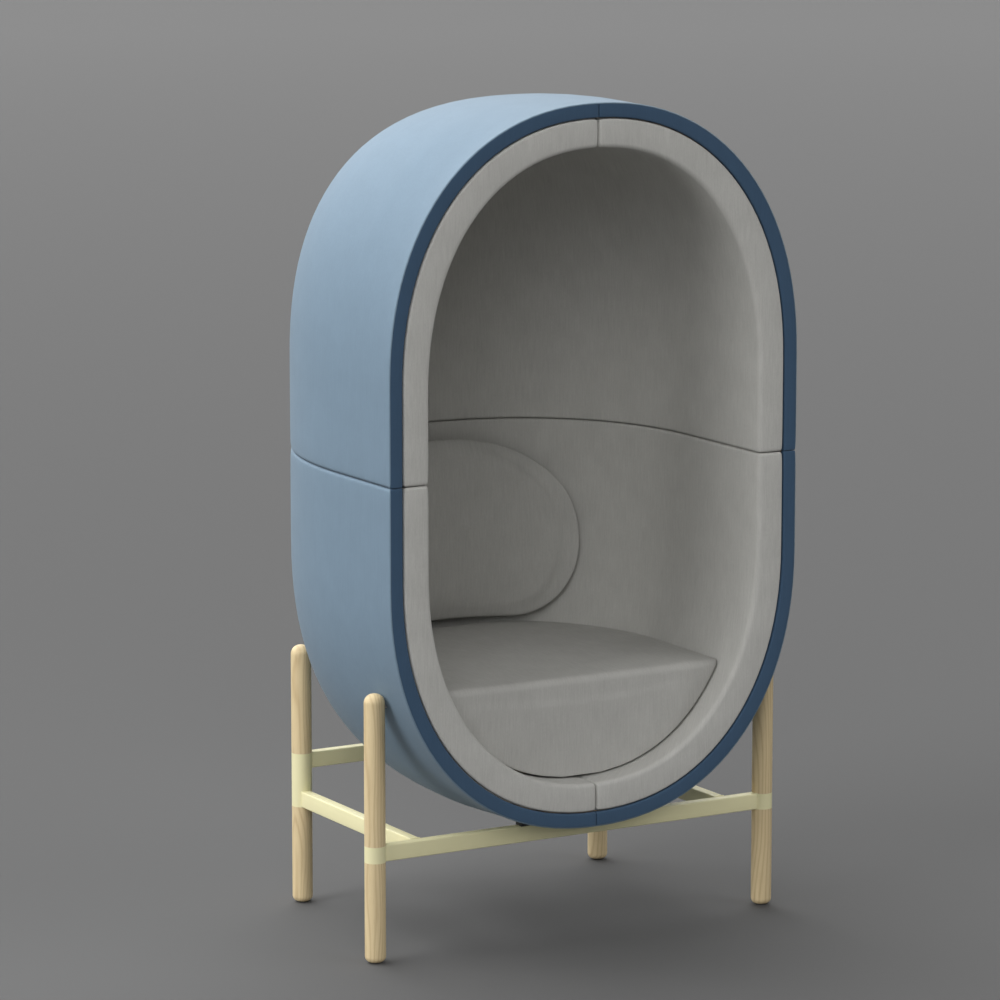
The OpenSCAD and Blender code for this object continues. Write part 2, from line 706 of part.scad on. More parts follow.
module leg_screws() {
    legs = [[front_leg_x, front_leg_y, low_rail_top], [back_leg_x, back_leg_y, back_rail_top]];
    color(zinc)
        for (l = legs, side = [-1, 1], z = sleeve_screws(l[2] - low_sleeve_z))
            translate([side*l[0], l[1] + leg_d/2, low_sleeve_z + z]) rotate([-90, 0, 0]) {
                cylinder(d = screw_head_d, h = screw_head_h);
                translate([0, 0, -screw_len]) cylinder(d = screw_d, h = screw_len);
            }
}

module floor_glides() {
    color(black)
        for (l = [[front_leg_x, front_leg_y], [back_leg_x, back_leg_y]], side = [-1, 1])
            translate([side*l[0], l[1], 0]) {
                cylinder(d = glide_d, h = glide_h);
                translate([0, 0, glide_h]) cylinder(d = glide_pin_d, h = glide_pin_h);
            }
}

module lower_cover() {
    difference() {
        lower() outer_cover();
        color(light_blue) each_pod_fixing(true);
        color(light_blue) leg_studs(push_fit);
    }
}

module lower_shell() {
    difference() {
        lower() pod_shell();
        color(ply) each_pod_fixing(true);
        color(ply) leg_studs(push_fit);
    }
}

module lower_liner() {
    difference() {
        lower() liner();
        color(liner_grey) each_pod_fixing(true);
    }
}

module post(x, y, mid, top) {
    difference() {
        leg_post(x, y, mid, top);
        color(ash) leg_studs(push_fit);
        color(ash) leg_screws();
    }
}

module foot(x, y, mid) {
    difference() {
        leg_foot(x, y, mid);
        color(ash) leg_screws();
    }
}

outer_cover();  // outer_cover_upper
lower_cover();  // outer_cover_lower
left() edge_band();  // edge_band_upper_left
edge_band();  // edge_band_upper_right
left() lower() edge_band();  // edge_band_lower_left
lower() edge_band();  // edge_band_lower_right
pod_shell();  // shell_upper
lower_shell();  // shell_lower
rim_board();  // rim_board_upper
lower() rim_board();  // rim_board_lower
seam_flange();  // seam_flange_upper
lower() seam_flange();  // seam_flange_lower
flange_bolts();
flange_nuts();
flange_dowels();
left() liner();  // liner_upper_left
liner();  // liner_upper_right
left() lower_liner();  // liner_lower_left
lower_liner();  // liner_lower_right
seat_deck();
seat_front_board();
left() seat_rib();  // seat_rib_left
seat_rib();  // seat_rib_right
seat_cushion();
back_cushion();
post(-front_leg_x, front_leg_y, low_rail_z, low_rail_top);  // leg_post_front_left
post(front_leg_x, front_leg_y, low_rail_z, low_rail_top);  // leg_post_front_right
post(-back_leg_x, back_leg_y, back_sleeve_mid, back_rail_top);  // leg_post_back_left
post(back_leg_x, back_leg_y, back_sleeve_mid, back_rail_top);  // leg_post_back_right
foot(-front_leg_x, front_leg_y, low_rail_z);  // leg_foot_front_left
foot(front_leg_x, front_leg_y, low_rail_z);  // leg_foot_front_right
foot(-back_leg_x, back_leg_y, back_sleeve_mid);  // leg_foot_back_left
foot(back_leg_x, back_leg_y, back_sleeve_mid);  // leg_foot_back_right
sleeve(-front_leg_x, front_leg_y, low_rail_top);  // sleeve_front_left
sleeve(front_leg_x, front_leg_y, low_rail_top);  // sleeve_front_right
sleeve(-back_leg_x, back_leg_y, back_rail_top);  // sleeve_back_left
sleeve(back_leg_x, back_leg_y, back_rail_top);  // sleeve_back_right
cross_rail(front_leg_x, front_leg_y, low_rail_z);  // front_rail
cross_rail(back_leg_x, back_leg_y, back_rail_z);  // back_rail
left() side_rail();  // side_rail_left
side_rail();  // side_rail_right
saddles(front_leg_y, low_rail_top);  // saddles_front
saddles(back_leg_y, back_rail_top);  // saddles_back
color(zinc) each_pod_fixing(false);  // pod_bolts
pod_inserts();
color(zinc) leg_studs(0);
leg_screws();
floor_glides();
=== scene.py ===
"""Looks of the pod chair: its fabrics, padding, wood, steel and a plain studio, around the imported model.

Lengths are metres in the model's frame: +Z up, the mouth faces -Y, the floor is at zero. Depths are
measured back from the rim's front face, and insets inwards from the pod's outer face.
"""

import logging
import math
from dataclasses import dataclass, field
from enum import Enum
from typing import Sequence

import bmesh
import bpy
import numpy as np
from mathutils import Matrix, Vector
from mathutils.kdtree import KDTree


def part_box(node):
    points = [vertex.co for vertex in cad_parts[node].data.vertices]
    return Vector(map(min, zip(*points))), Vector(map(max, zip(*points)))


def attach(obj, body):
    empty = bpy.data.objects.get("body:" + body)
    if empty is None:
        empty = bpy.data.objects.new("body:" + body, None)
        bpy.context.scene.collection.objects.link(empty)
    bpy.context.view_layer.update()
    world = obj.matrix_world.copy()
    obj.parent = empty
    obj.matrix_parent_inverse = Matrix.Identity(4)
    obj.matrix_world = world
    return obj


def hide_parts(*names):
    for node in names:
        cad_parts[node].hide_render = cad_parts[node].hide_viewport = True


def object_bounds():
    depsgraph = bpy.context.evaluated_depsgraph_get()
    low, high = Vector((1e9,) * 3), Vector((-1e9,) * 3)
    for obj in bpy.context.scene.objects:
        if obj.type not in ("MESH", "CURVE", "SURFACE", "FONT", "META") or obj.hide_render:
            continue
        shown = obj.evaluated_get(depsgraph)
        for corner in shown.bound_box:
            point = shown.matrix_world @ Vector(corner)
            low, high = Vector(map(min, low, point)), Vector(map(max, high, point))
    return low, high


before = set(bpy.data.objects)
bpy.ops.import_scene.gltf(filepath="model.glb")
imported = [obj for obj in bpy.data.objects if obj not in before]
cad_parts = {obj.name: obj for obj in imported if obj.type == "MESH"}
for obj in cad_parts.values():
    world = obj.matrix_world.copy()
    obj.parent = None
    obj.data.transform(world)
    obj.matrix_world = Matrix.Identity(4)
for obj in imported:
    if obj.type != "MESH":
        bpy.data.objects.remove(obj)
CAD_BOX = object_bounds()

WEAVE_UV = "weave"
TINY = 1e-9
MERGE_DISTANCE = 1e-6
CREASE_DEGREES = 50.0
# A wave texture of scale 1 repeats after this length of its coordinates.
WAVE_LENGTH = math.pi / 10
log = logging.getLogger("pod_chair")

Colour = tuple[float, float, float]
Triple = tuple[float, float, float]
Pair = tuple[float, float]
Values = float | np.ndarray
Faces = list[list[int]]


class Body(Enum):
    """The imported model's moving bodies."""

    CHAIR = "pod_chair"
    BACK_CUSHION = "back_cushion"


class Slot(Enum):
    """The record's material slots."""

    OUTER_FABRIC = "outer_fabric"
    EDGE_FABRIC = "edge_fabric"
    LINER_FABRIC = "liner_fabric"
    CUSHION_FABRIC = "cushion_fabric"
    PLYWOOD = "plywood"
    ASH_WOOD = "ash_wood"
    FRAME_STEEL = "frame_steel"
    FIXING_STEEL = "fixing_steel"
    BLACK_PLASTIC = "black_plastic"


class Labelled(Enum):
    """A choice whose name is part of the names of nodes and pieces."""

    @property
    def label(self) -> str:
        """Return the name as nodes and pieces write it."""
        return self.name.lower()


class Half(Labelled):
    """The two halves of the pod, by the way their height runs from the middle seam."""

    UPPER = 1
    LOWER = -1


class Side(Labelled):
    """The chair's sides, by the sign of X."""

    LEFT = -1
    RIGHT = 1


class End(Labelled):
    """The frame's ends, by the sign of Y."""

    FRONT = -1
    BACK = 1


class NodeTree:
    """A short way to add nodes to a tree and to link their inputs."""

    def __init__(self, tree: bpy.types.NodeTree) -> None:
        """Wrap a tree.

        Args:
            tree: the tree to write in.
        """
        self.tree = tree

    def set(self, node: bpy.types.Node, **inputs: object) -> bpy.types.Node:
        """Give a node's inputs their values or links.

        Args:
            node: the node.
            inputs: values or sockets, by input name with spaces written as underscores, or by number as i0.

        Returns:
            The same node.
        """
        for key, value in inputs.items():
            name = key.replace("_", " ")
            numbered_input = name[0] == "i" and name[1:].isdigit()
            target = node.inputs[int(name[1:]) if numbered_input else name]
            if isinstance(value, bpy.types.NodeSocket):
                self.tree.links.new(value, target)
            elif isinstance(value, tuple) and len(value) == 3 and target.type == "RGBA":
                target.default_value = (*value, 1)
            else:
                target.default_value = value
        return node

    def add(self, kind: str, settings: dict[str, object] | None = None, **inputs: object,
            ) -> bpy.types.Node:
        """Add a node.

        Args:
            kind: the node's type.
            settings: the node's own properties, such as its operation.
            inputs: its inputs, as for set().

        Returns:
            The new node.
        """
        node = self.tree.nodes.new(kind)
        for key, value in (settings or {}).items():
            setattr(node, key, value)
        return self.set(node, **inputs)

    def math(self, operation: str, first: object, second: object = 0.0) -> bpy.types.NodeSocket:
        """Return one sum of two values or sockets.

        Args:
            operation: the name of the Math node's operation.
            first, second: the two terms.

        Returns:
            The result.
        """
        return self.add("ShaderNodeMath", {"operation": operation}, i0=first, i1=second).outputs["Value"]


class GeometryTree(NodeTree):
    """A Geometry Nodes tree that turns places into a plain piece, with a named input for each size."""

    def __init__(self, name: str) -> None:
        """Start a tree.

        Args:
            name: the tree's name.
        """
        super().__init__(bpy.data.node_groups.new(name, "GeometryNodeTree"))
        for way in ("INPUT", "OUTPUT"):
            self.tree.interface.new_socket("Geometry", in_out=way, socket_type="NodeSocketGeometry")
        self.start = self.add("NodeGroupInput")
        self.sizes: dict[str, str] = {}

    def size(self, name: str) -> bpy.types.NodeSocket:
        """Add a named length to the tree's inputs.

        Args:
            name: the input's name.

        Returns:
            Its socket.
        """
        self.sizes[name] = self.tree.interface.new_socket(
            name, in_out="INPUT", socket_type="NodeSocketFloat").identifier
        return self.start.outputs[name]

    def close(self, shape: bpy.types.NodeSocket, material: bpy.types.Material) -> None:
        """End the tree with real faces in one material.

        Args:
            shape: the geometry.
            material: its material.
        """
        real = self.add("GeometryNodeRealizeInstances", None, Geometry=shape).outputs["Geometry"]
        dressed = self.add("GeometryNodeSetMaterial", None, Geometry=real, Material=material)
        self.add("NodeGroupOutput", None, Geometry=dressed.outputs["Geometry"])

    def run(self, name: str, places: bpy.types.Mesh, **sizes: float) -> bpy.types.Object:
        """Run the tree over a mesh, and keep what it makes as a plain piece.

        Args:
            name: the piece's name.
            places: the points or edges that the tree starts from.
            sizes: a value for each named input.

        Returns:
            The piece.
        """
        piece = new_object(name, places)
        modifier = piece.modifiers.new(name, "NODES")
        modifier.node_group = self.tree
        for size, value in sizes.items():
            modifier[self.sizes[size]] = value
        settle(piece)
        close_mesh(piece.data)
        return piece


class ShaderTree(NodeTree):
    """A short way to write a material's nodes around its one Principled shader."""

    def __init__(self, name: str, **surface: object) -> None:
        """Start a material.

        Args:
            name: the material's name.
            surface: values or sockets for the shader's inputs, with spaces written as underscores.
        """
        self.material = bpy.data.materials.new(name)
        self.material.use_nodes = True
        super().__init__(self.material.node_tree)
        self.shader = self.tree.nodes["Principled BSDF"]
        self.place = self.add("ShaderNodeTexCoord").outputs["Object"]
        self.set(self.shader, **surface)

    def weave_place(self) -> bpy.types.NodeSocket:
        """Return the coordinates of the cloth on the piece, in metres across and along the weave."""
        return self.add("ShaderNodeUVMap", {"uv_map": WEAVE_UV}).outputs["UV"]

    def stretched(self, place: bpy.types.NodeSocket, scale: Triple) -> bpy.types.NodeSocket:
        """Scale coordinates by a different amount along each axis.

        Args:
            place: the coordinates.
            scale: the scale along X, Y and Z.

        Returns:
            The scaled coordinates.
        """
        return self.add("ShaderNodeMapping", None, Vector=place, Scale=scale).outputs["Vector"]

    def noise(self, place: bpy.types.NodeSocket, scale: float | Triple, detail: float, rough: float,
              ) -> bpy.types.NodeSocket:
        """Return a noise value around one half.

        Args:
            place: the coordinates.
            scale: repeats per unit of the coordinates, as one number or one for each axis.
            detail: the number of finer layers.
            rough: how strong the finer layers are.

        Returns:
            The noise value.
        """
        if isinstance(scale, tuple):
            place, scale = self.stretched(place, scale), 1
        return self.add("ShaderNodeTexNoise", None, Vector=place, Scale=scale, Detail=detail,
                        Roughness=rough).outputs["Fac"]

    def threads(self, place: bpy.types.NodeSocket, pitch: float, direction: str, wander: float,
                ) -> bpy.types.NodeSocket:
        """Return a wave that rises and falls once in each pitch.

        Args:
            place: the coordinates, in metres.
            pitch: the distance between two crests.
            direction: the axis along which the wave runs, X, Y or Z.
            wander: how far the wave is bent by noise.

        Returns:
            The wave's value, from 0 to 1.
        """
        return self.add("ShaderNodeTexWave", {"wave_type": "BANDS", "bands_direction": direction},
                        Vector=place, Scale=WAVE_LENGTH / pitch, Distortion=wander,
                        Detail=2.0).outputs["Fac"]

    def blend(self, *parts: tuple[bpy.types.NodeSocket, float]) -> bpy.types.NodeSocket:
        """Add up values, each with its own weight.

        Args:
            parts: each value with its weight.

        Returns:
            The sum.
        """
        terms = [self.math("MULTIPLY", value, weight) for value, weight in parts]
        total = terms[0]
        for term in terms[1:]:
            total = self.math("ADD", total, term)
        return total

    def tint(self, share: bpy.types.NodeSocket, first: Colour, second: Colour) -> None:
        """Colour the shader between two colours.

        Args:
            share: how much of the second colour, from 0 to 1.
            first, second: the two colours.
        """
        ramp = self.add("ShaderNodeValToRGB", None, Fac=share)
        for element, colour in zip(ramp.color_ramp.elements, (first, second)):
            element.color = (*colour, 1)
        self.set(self.shader, Base_Color=ramp.outputs["Color"])

    def mottle(self, share: bpy.types.NodeSocket, colour: Colour, darker: float, lighter: float) -> None:
        """Colour the shader between two shades of one colour.

        Args:
            share: how much of the lighter shade, from 0 to 1.
            colour: the colour.
            darker, lighter: the factors that make the two shades of it.
        """
        shades = [tuple(min(1.0, part * factor) for part in colour) for factor in (darker, lighter)]
        self.tint(share, *shades)

    def spread(self, value: bpy.types.NodeSocket, low: float, high: float, to_low: float = 0,
               to_high: float = 1) -> bpy.types.NodeSocket:
        """Map a value from one range to another, and stop at its ends.

        Args:
            value: the value.
            low, high: the range it comes in.
            to_low, to_high: the range it leaves in.

        Returns:
            The mapped value.
        """
        return self.add("ShaderNodeMapRange", None, Value=value, From_Min=low, From_Max=high,
                        To_Min=to_low, To_Max=to_high).outputs["Result"]

    def bump(self, height: bpy.types.NodeSocket, distance: float, strength: float) -> None:
        """Give the shader a bump.

        Args:
            height: the height from 0 to 1.
            distance: the depth of the bump, in metres.
            strength: how much of it shows.
        """
        node = self.add("ShaderNodeBump", None, Height=height, Distance=distance, Strength=strength)
        self.set(self.shader, Normal=node.outputs["Normal"])


@dataclass(frozen=True)
class WoolFelt:
    """Pressed wool felt: no weave, short fibres, a soft sheen and a little mottling."""

    name: str
    colour: Colour
    contrast: float = 0.1
    fibre: float = 0.0011
    cloud: float = 0.045
    streak_width: float = 0.003
    streak_length: float = 0.05
    sheen: float = 0.08
    gloss: float = 0.22
    roughness: float = 0.92

    def material(self) -> bpy.types.Material:
        """Build the felt's material.

        Returns:
            The material.
        """
        tree = ShaderTree(self.name, Roughness=self.roughness, Specular_IOR_Level=self.gloss,
                          Sheen_Weight=self.sheen, Sheen_Roughness=0.55)
        across, along = 1 / self.streak_width, 1 / self.streak_length
        clouds = tree.noise(tree.place, 1 / self.cloud, detail=4, rough=0.6)
        fibres = tree.noise(tree.place, 1 / self.fibre, detail=2, rough=0.7)
        streaks = tree.noise(tree.place, (across, across, along), detail=3, rough=0.6)
        tone = tree.blend((clouds, 0.3), (fibres, 0.35), (streaks, 0.35))
        share = tree.spread(tone, low=0.3, high=0.7)
        tree.mottle(share, self.colour, darker=1 - self.contrast, lighter=1 + self.contrast)
        nap = tree.math("ADD", fibres, tree.math("MULTIPLY", clouds, 0.5))
        tree.bump(nap, distance=0.0004, strength=0.35)
        return tree.material


@dataclass(frozen=True)
class MelangeCloth:
    """Woven wool cloth of mixed grey yarns: a plain weave with long faint streaks along it."""

    name: str
    colour: Colour
    contrast: float = 0.12
    pitch: float = 0.0013
    yarn_share: float = 0.25
    streak_width: float = 0.0028
    streak_length: float = 0.045
    cloud: float = 0.06
    sheen: float = 0.06

    def material(self) -> bpy.types.Material:
        """Build the cloth's material.

        Returns:
            The material.
        """
        tree = ShaderTree(self.name, Roughness=0.94, Specular_IOR_Level=0.2, Sheen_Weight=self.sheen,
                          Sheen_Roughness=0.6)
        place = tree.weave_place()
        streak_scale = (1 / self.streak_width, 1 / self.streak_length, 1)
        streaks = tree.noise(place, streak_scale, detail=4, rough=0.65)
        yarns = tree.noise(place, (1 / self.pitch, self.yarn_share / self.pitch, 1), detail=1, rough=0.5)
        clouds = tree.noise(place, 1 / self.cloud, detail=3, rough=0.5)
        tone = tree.blend((streaks, 0.5), (yarns, 0.25), (clouds, 0.25))
        share = tree.spread(tone, low=0.32, high=0.68)
        tree.mottle(share, self.colour, darker=1 - self.contrast, lighter=1 + self.contrast)
        warp, weft = (tree.threads(place, self.pitch, direction, wander=0.6) for direction in "XY")
        weave = tree.math("MULTIPLY", warp, weft)
        relief = tree.math("ADD", weave, tree.math("MULTIPLY", streaks, 0.6))
        tree.bump(relief, distance=0.0003, strength=0.4)
        return tree.material


@dataclass(frozen=True)
class AshWood:
    """Oiled ash: pale, with darker grain lines and fine pores along the leg."""

    name: str
    pale: Colour
    dark: Colour
    ring: float = 0.0065
    wander: float = 0.09
    pore: float = 0.0007
    along: float = 0.02
    drift_scale: Triple = (11, 11, 1.6)
    cloud_scale: Triple = (30, 30, 5)

    def material(self) -> bpy.types.Material:
        """Build the wood's material.

        Returns:
            The material.
        """
        tree = ShaderTree(self.name, Specular_IOR_Level=0.4)
        drift = tree.noise(tree.place, self.drift_scale, detail=2, rough=0.5)
        place = tree.add("ShaderNodeVectorMath", {"operation": "ADD"}, i0=tree.place,
                         i1=tree.math("MULTIPLY", drift, self.wander)).outputs["Vector"]
        rings = tree.threads(tree.stretched(place, (1, 0.8, self.along)), self.ring, "X", wander=1.4)
        pore_scale = (1 / self.pore, 1 / self.pore, self.along / self.pore)
        pores = tree.noise(tree.place, pore_scale, detail=2, rough=0.6)
        clouds = tree.noise(tree.place, self.cloud_scale, detail=2, rough=0.5)
        lines = tree.math("POWER", rings, 3.0)
        tone = tree.blend((lines, 0.45), (tree.spread(pores, low=0.52, high=0.72), 0.35), (clouds, 0.3))
        tree.tint(tree.spread(tone, low=0.1, high=0.95), self.pale, self.dark)
        tree.set(tree.shader, Roughness=tree.spread(pores, low=0.4, high=0.7, to_low=0.5, to_high=0.66))
        tree.bump(tree.math("SUBTRACT", lines, pores), distance=0.0002, strength=0.25)
        return tree.material


@dataclass(frozen=True)
class PowderCoat:
    """Powder-coated steel: an even satin colour with a fine orange peel."""

    name: str
    colour: Colour
    peel: float = 0.0022
    cloud_scale: float = 14.0

    def material(self) -> bpy.types.Material:
        """Build the coating's material.

        Returns:
            The material.
        """
        tree = ShaderTree(self.name, Specular_IOR_Level=0.5)
        peel = tree.noise(tree.place, 1 / self.peel, detail=2, rough=0.5)
        clouds = tree.noise(tree.place, self.cloud_scale, detail=3, rough=0.5)
        tree.mottle(clouds, self.colour, darker=0.96, lighter=1.03)
        tree.set(tree.shader, Roughness=tree.spread(peel, low=0.3, high=0.7, to_low=0.42, to_high=0.52))
        tree.bump(peel, distance=0.00015, strength=0.25)
        return tree.material


@dataclass(frozen=True)
class ZincSteel:
    """Zinc-plated fixings, slightly cloudy."""

    name: str
    colour: Colour
    cloud_scale: float = 220.0

    def material(self) -> bpy.types.Material:
        """Build the plating's material.

        Returns:
            The material.
        """
        tree = ShaderTree(self.name, Metallic=1.0)
        clouds = tree.noise(tree.place, self.cloud_scale, detail=3, rough=0.6)
        tree.mottle(clouds, self.colour, darker=0.85, lighter=1.0)
        tree.set(tree.shader, Roughness=tree.spread(clouds, low=0.3, high=0.7, to_low=0.28, to_high=0.42))
        return tree.material


@dataclass(frozen=True)
class MouldedPlastic:
    """Black moulded plastic with a fine spark texture."""

    name: str
    colour: Colour
    grain: float = 0.0009

    def material(self) -> bpy.types.Material:
        """Build the plastic's material.

        Returns:
            The material.
        """
        tree = ShaderTree(self.name, Specular_IOR_Level=0.45)
        grain = tree.noise(tree.place, 1 / self.grain, detail=2, rough=0.6)
        tree.mottle(grain, self.colour, darker=0.85, lighter=1.2)
        tree.set(tree.shader, Roughness=tree.spread(grain, low=0.3, high=0.7, to_low=0.45, to_high=0.6))
        tree.bump(grain, distance=0.0001, strength=0.3)
        return tree.material


@dataclass(frozen=True)
class Plywood:
    """Birch plywood: pale faces with long grain."""

    name: str
    pale: Colour
    dark: Colour
    grain_scale: Triple = (60, 60, 4)
    cloud_scale: float = 9.0

    def material(self) -> bpy.types.Material:
        """Build the plywood's material.

        Returns:
            The material.
        """
        tree = ShaderTree(self.name, Roughness=0.6, Specular_IOR_Level=0.35)
        grain = tree.noise(tree.place, self.grain_scale, detail=4, rough=0.6)
        clouds = tree.noise(tree.place, self.cloud_scale, detail=2, rough=0.5)
        tone = tree.blend((grain, 0.7), (clouds, 0.3))
        tree.tint(tree.spread(tone, low=0.3, high=0.7), self.pale, self.dark)
        tree.bump(grain, distance=0.0002, strength=0.2)
        return tree.material


@dataclass
class Palette:
    """One finish for each of the record's slots."""

    finishes: dict[Slot, object] = field(default_factory=lambda: {
        Slot.OUTER_FABRIC: WoolFelt("steel_blue_felt", (0.147, 0.218, 0.288), sheen=0.07, gloss=0.5,
                                    roughness=0.72),
        Slot.EDGE_FABRIC: WoolFelt("navy_felt", (0.052, 0.1, 0.17)),
        Slot.LINER_FABRIC: MelangeCloth("grey_melange", (0.54, 0.535, 0.507)),
        Slot.CUSHION_FABRIC: MelangeCloth("grey_melange_cushion", (0.49, 0.485, 0.46)),
        Slot.PLYWOOD: Plywood("birch_plywood", (0.62, 0.46, 0.28), (0.5, 0.34, 0.19)),
        Slot.ASH_WOOD: AshWood("oiled_ash", (0.75, 0.605, 0.36), (0.54, 0.395, 0.212)),
        Slot.FRAME_STEEL: PowderCoat("cream_powder_coat", (0.85, 0.8, 0.49)),
        Slot.FIXING_STEEL: ZincSteel("zinc_plating", (0.7, 0.7, 0.72)),
        Slot.BLACK_PLASTIC: MouldedPlastic("black_plastic", (0.025, 0.025, 0.026)),
    })
    made: dict[Slot, bpy.types.Material] = field(default_factory=dict)

    def __getitem__(self, slot: Slot) -> bpy.types.Material:
        """Return a slot's material, and build it when it is first asked for."""
        if slot not in self.made:
            self.made[slot] = self.finishes[slot].material()
        return self.made[slot]

    def dress(self, slots: dict[str, Slot]) -> None:
        """Give each carried-over node its finish.

        Args:
            slots: a slot for each node's name.
        """
        for node, slot in slots.items():
            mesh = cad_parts[node].data
            mesh.materials.clear()
            mesh.materials.append(self[slot])
            log.info("dressed %s as %s", node, slot.value)


def new_object(name: str, data: bpy.types.ID) -> bpy.types.Object:
    """Put a mesh, a lamp or a camera in the scene as an object at the origin.

    Args:
        name: the object's name.
        data: the mesh, lamp or camera.

    Returns:
        The object.
    """
    piece = bpy.data.objects.new(name, data)
    bpy.context.scene.collection.objects.link(piece)
    return piece


def new_mesh(name: str, points: Sequence[Triple], edges: Sequence[tuple[int, int]] = (),
             faces: Sequence[Sequence[int]] = ()) -> bpy.types.Mesh:
    """Make a mesh from plain lists.

    Args:
        name: the mesh's name.
        points: its points.
        edges, faces: the point numbers of its loose edges and of its faces.

    Returns:
        The mesh.
    """
    mesh = bpy.data.meshes.new(name)
    mesh.from_pydata(points, edges, faces)
    return mesh


def close_mesh(mesh: bpy.types.Mesh) -> None:
    """Join the points of a mesh that meet, turn its faces outwards and smooth all but its sharp edges.

    Args:
        mesh: the mesh.
    """
    sheet = bmesh.new()
    sheet.from_mesh(mesh)
    bmesh.ops.remove_doubles(sheet, verts=sheet.verts, dist=MERGE_DISTANCE)
    bmesh.ops.recalc_face_normals(sheet, faces=sheet.faces)
    sheet.to_mesh(mesh)
    sheet.free()
    mesh.shade_smooth()
    mesh.set_sharp_from_angle(angle=math.radians(CREASE_DEGREES))


def mesh_piece(name: str, points: np.ndarray, faces: Faces) -> bpy.types.Object:
    """Make a closed, smooth piece with outward faces.

    Args:
        name: the piece's name.
        points: its points, one row each.
        faces: the point numbers of its faces.

    Returns:
        The new object.
    """
    mesh = new_mesh(name, points.tolist(), faces=faces)
    close_mesh(mesh)
    return new_object(name, mesh)


def evaluated(piece: bpy.types.Object) -> bpy.types.Mesh:
    """Return a plain mesh of the piece with its modifiers applied."""
    graph = bpy.context.evaluated_depsgraph_get()
    return bpy.data.meshes.new_from_object(piece.evaluated_get(graph), depsgraph=graph)


def settle(piece: bpy.types.Object) -> None:
    """Turn a piece's modifiers into its plain mesh.

    Args:
        piece: the piece.
    """
    mesh = evaluated(piece)
    piece.modifiers.clear()
    old, piece.data = piece.data, mesh
    bpy.data.meshes.remove(old)


def positions(mesh: bpy.types.Mesh) -> np.ndarray:
    """Return a mesh's points, one row each.

    Args:
        mesh: the mesh.

    Returns:
        The points.
    """
    flat = np.empty(len(mesh.vertices) * 3)
    mesh.vertices.foreach_get("co", flat)
    return flat.reshape(-1, 3)


def place_points(mesh: bpy.types.Mesh, points: np.ndarray) -> None:
    """Move a mesh's points to new places."""
    mesh.vertices.foreach_set("co", points.ravel())
    mesh.update()


def lay_weave(mesh: bpy.types.Mesh, across: np.ndarray, along: np.ndarray) -> None:
    """Write the cloth's coordinates as a UV layer.

    Args:
        mesh: the piece's mesh.
        across, along: metres across and along the weave at each point.
    """
    layer = mesh.uv_layers.new(name=WEAVE_UV)
    corners = np.empty(len(mesh.loops), dtype=np.int32)
    mesh.loops.foreach_get("vertex_index", corners)
    layer.data.foreach_set("uv", np.stack([across[corners], along[corners]], axis=1).ravel())


def hand_over(piece: bpy.types.Object, body: Body, slot: Slot, palette: Palette, nodes: Sequence[str],
              ) -> None:
    """Give a finished piece its material, its body and the nodes that it stands for.

    Args:
        piece: the finished piece.
        body: the body that it moves with.
        slot: the material slot of its finish.
        palette: the finishes.
        nodes: the nodes that it replaces.
    """
    piece.data.materials.clear()
    piece.data.materials.append(palette[slot])
    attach(piece, body.value)
    if nodes:
        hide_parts(*nodes)
    log.info("made %s with %d faces", piece.name, len(piece.data.polygons))


@dataclass(frozen=True)
class SeamEdge:
    """How cloth over foam turns down into a seam."""

    half_gap: float
    radius: float
    dip: float
    reach: float

    def drop(self, distance: np.ndarray) -> np.ndarray:
        """Return how far the surface lies below its plain shape.

        Args:
            distance: the distance from the seam's edge.

        Returns:
            The drop at each distance.
        """
        near = self.radius - np.clip(distance, 0, self.radius)
        tight = self.radius - np.sqrt(self.radius**2 - near**2)
        return tight + self.dip * np.exp(-np.maximum(distance, 0) / self.reach)


def arc(centre: Pair, radius: float, first: float, last: float, steps: int) -> list[Pair]:
    """Return points on an arc.

    Args:
        centre: the arc's centre.
        radius: its radius.
        first, last: its first and last angle, in degrees.
        steps: the number of steps between them.

    Returns:
        The points, both ends included.
    """
    angles = [math.radians(first + (last - first) * k / steps) for k in range(steps + 1)]
    return [(centre[0] + radius * math.cos(a), centre[1] + radius * math.sin(a)) for a in angles]


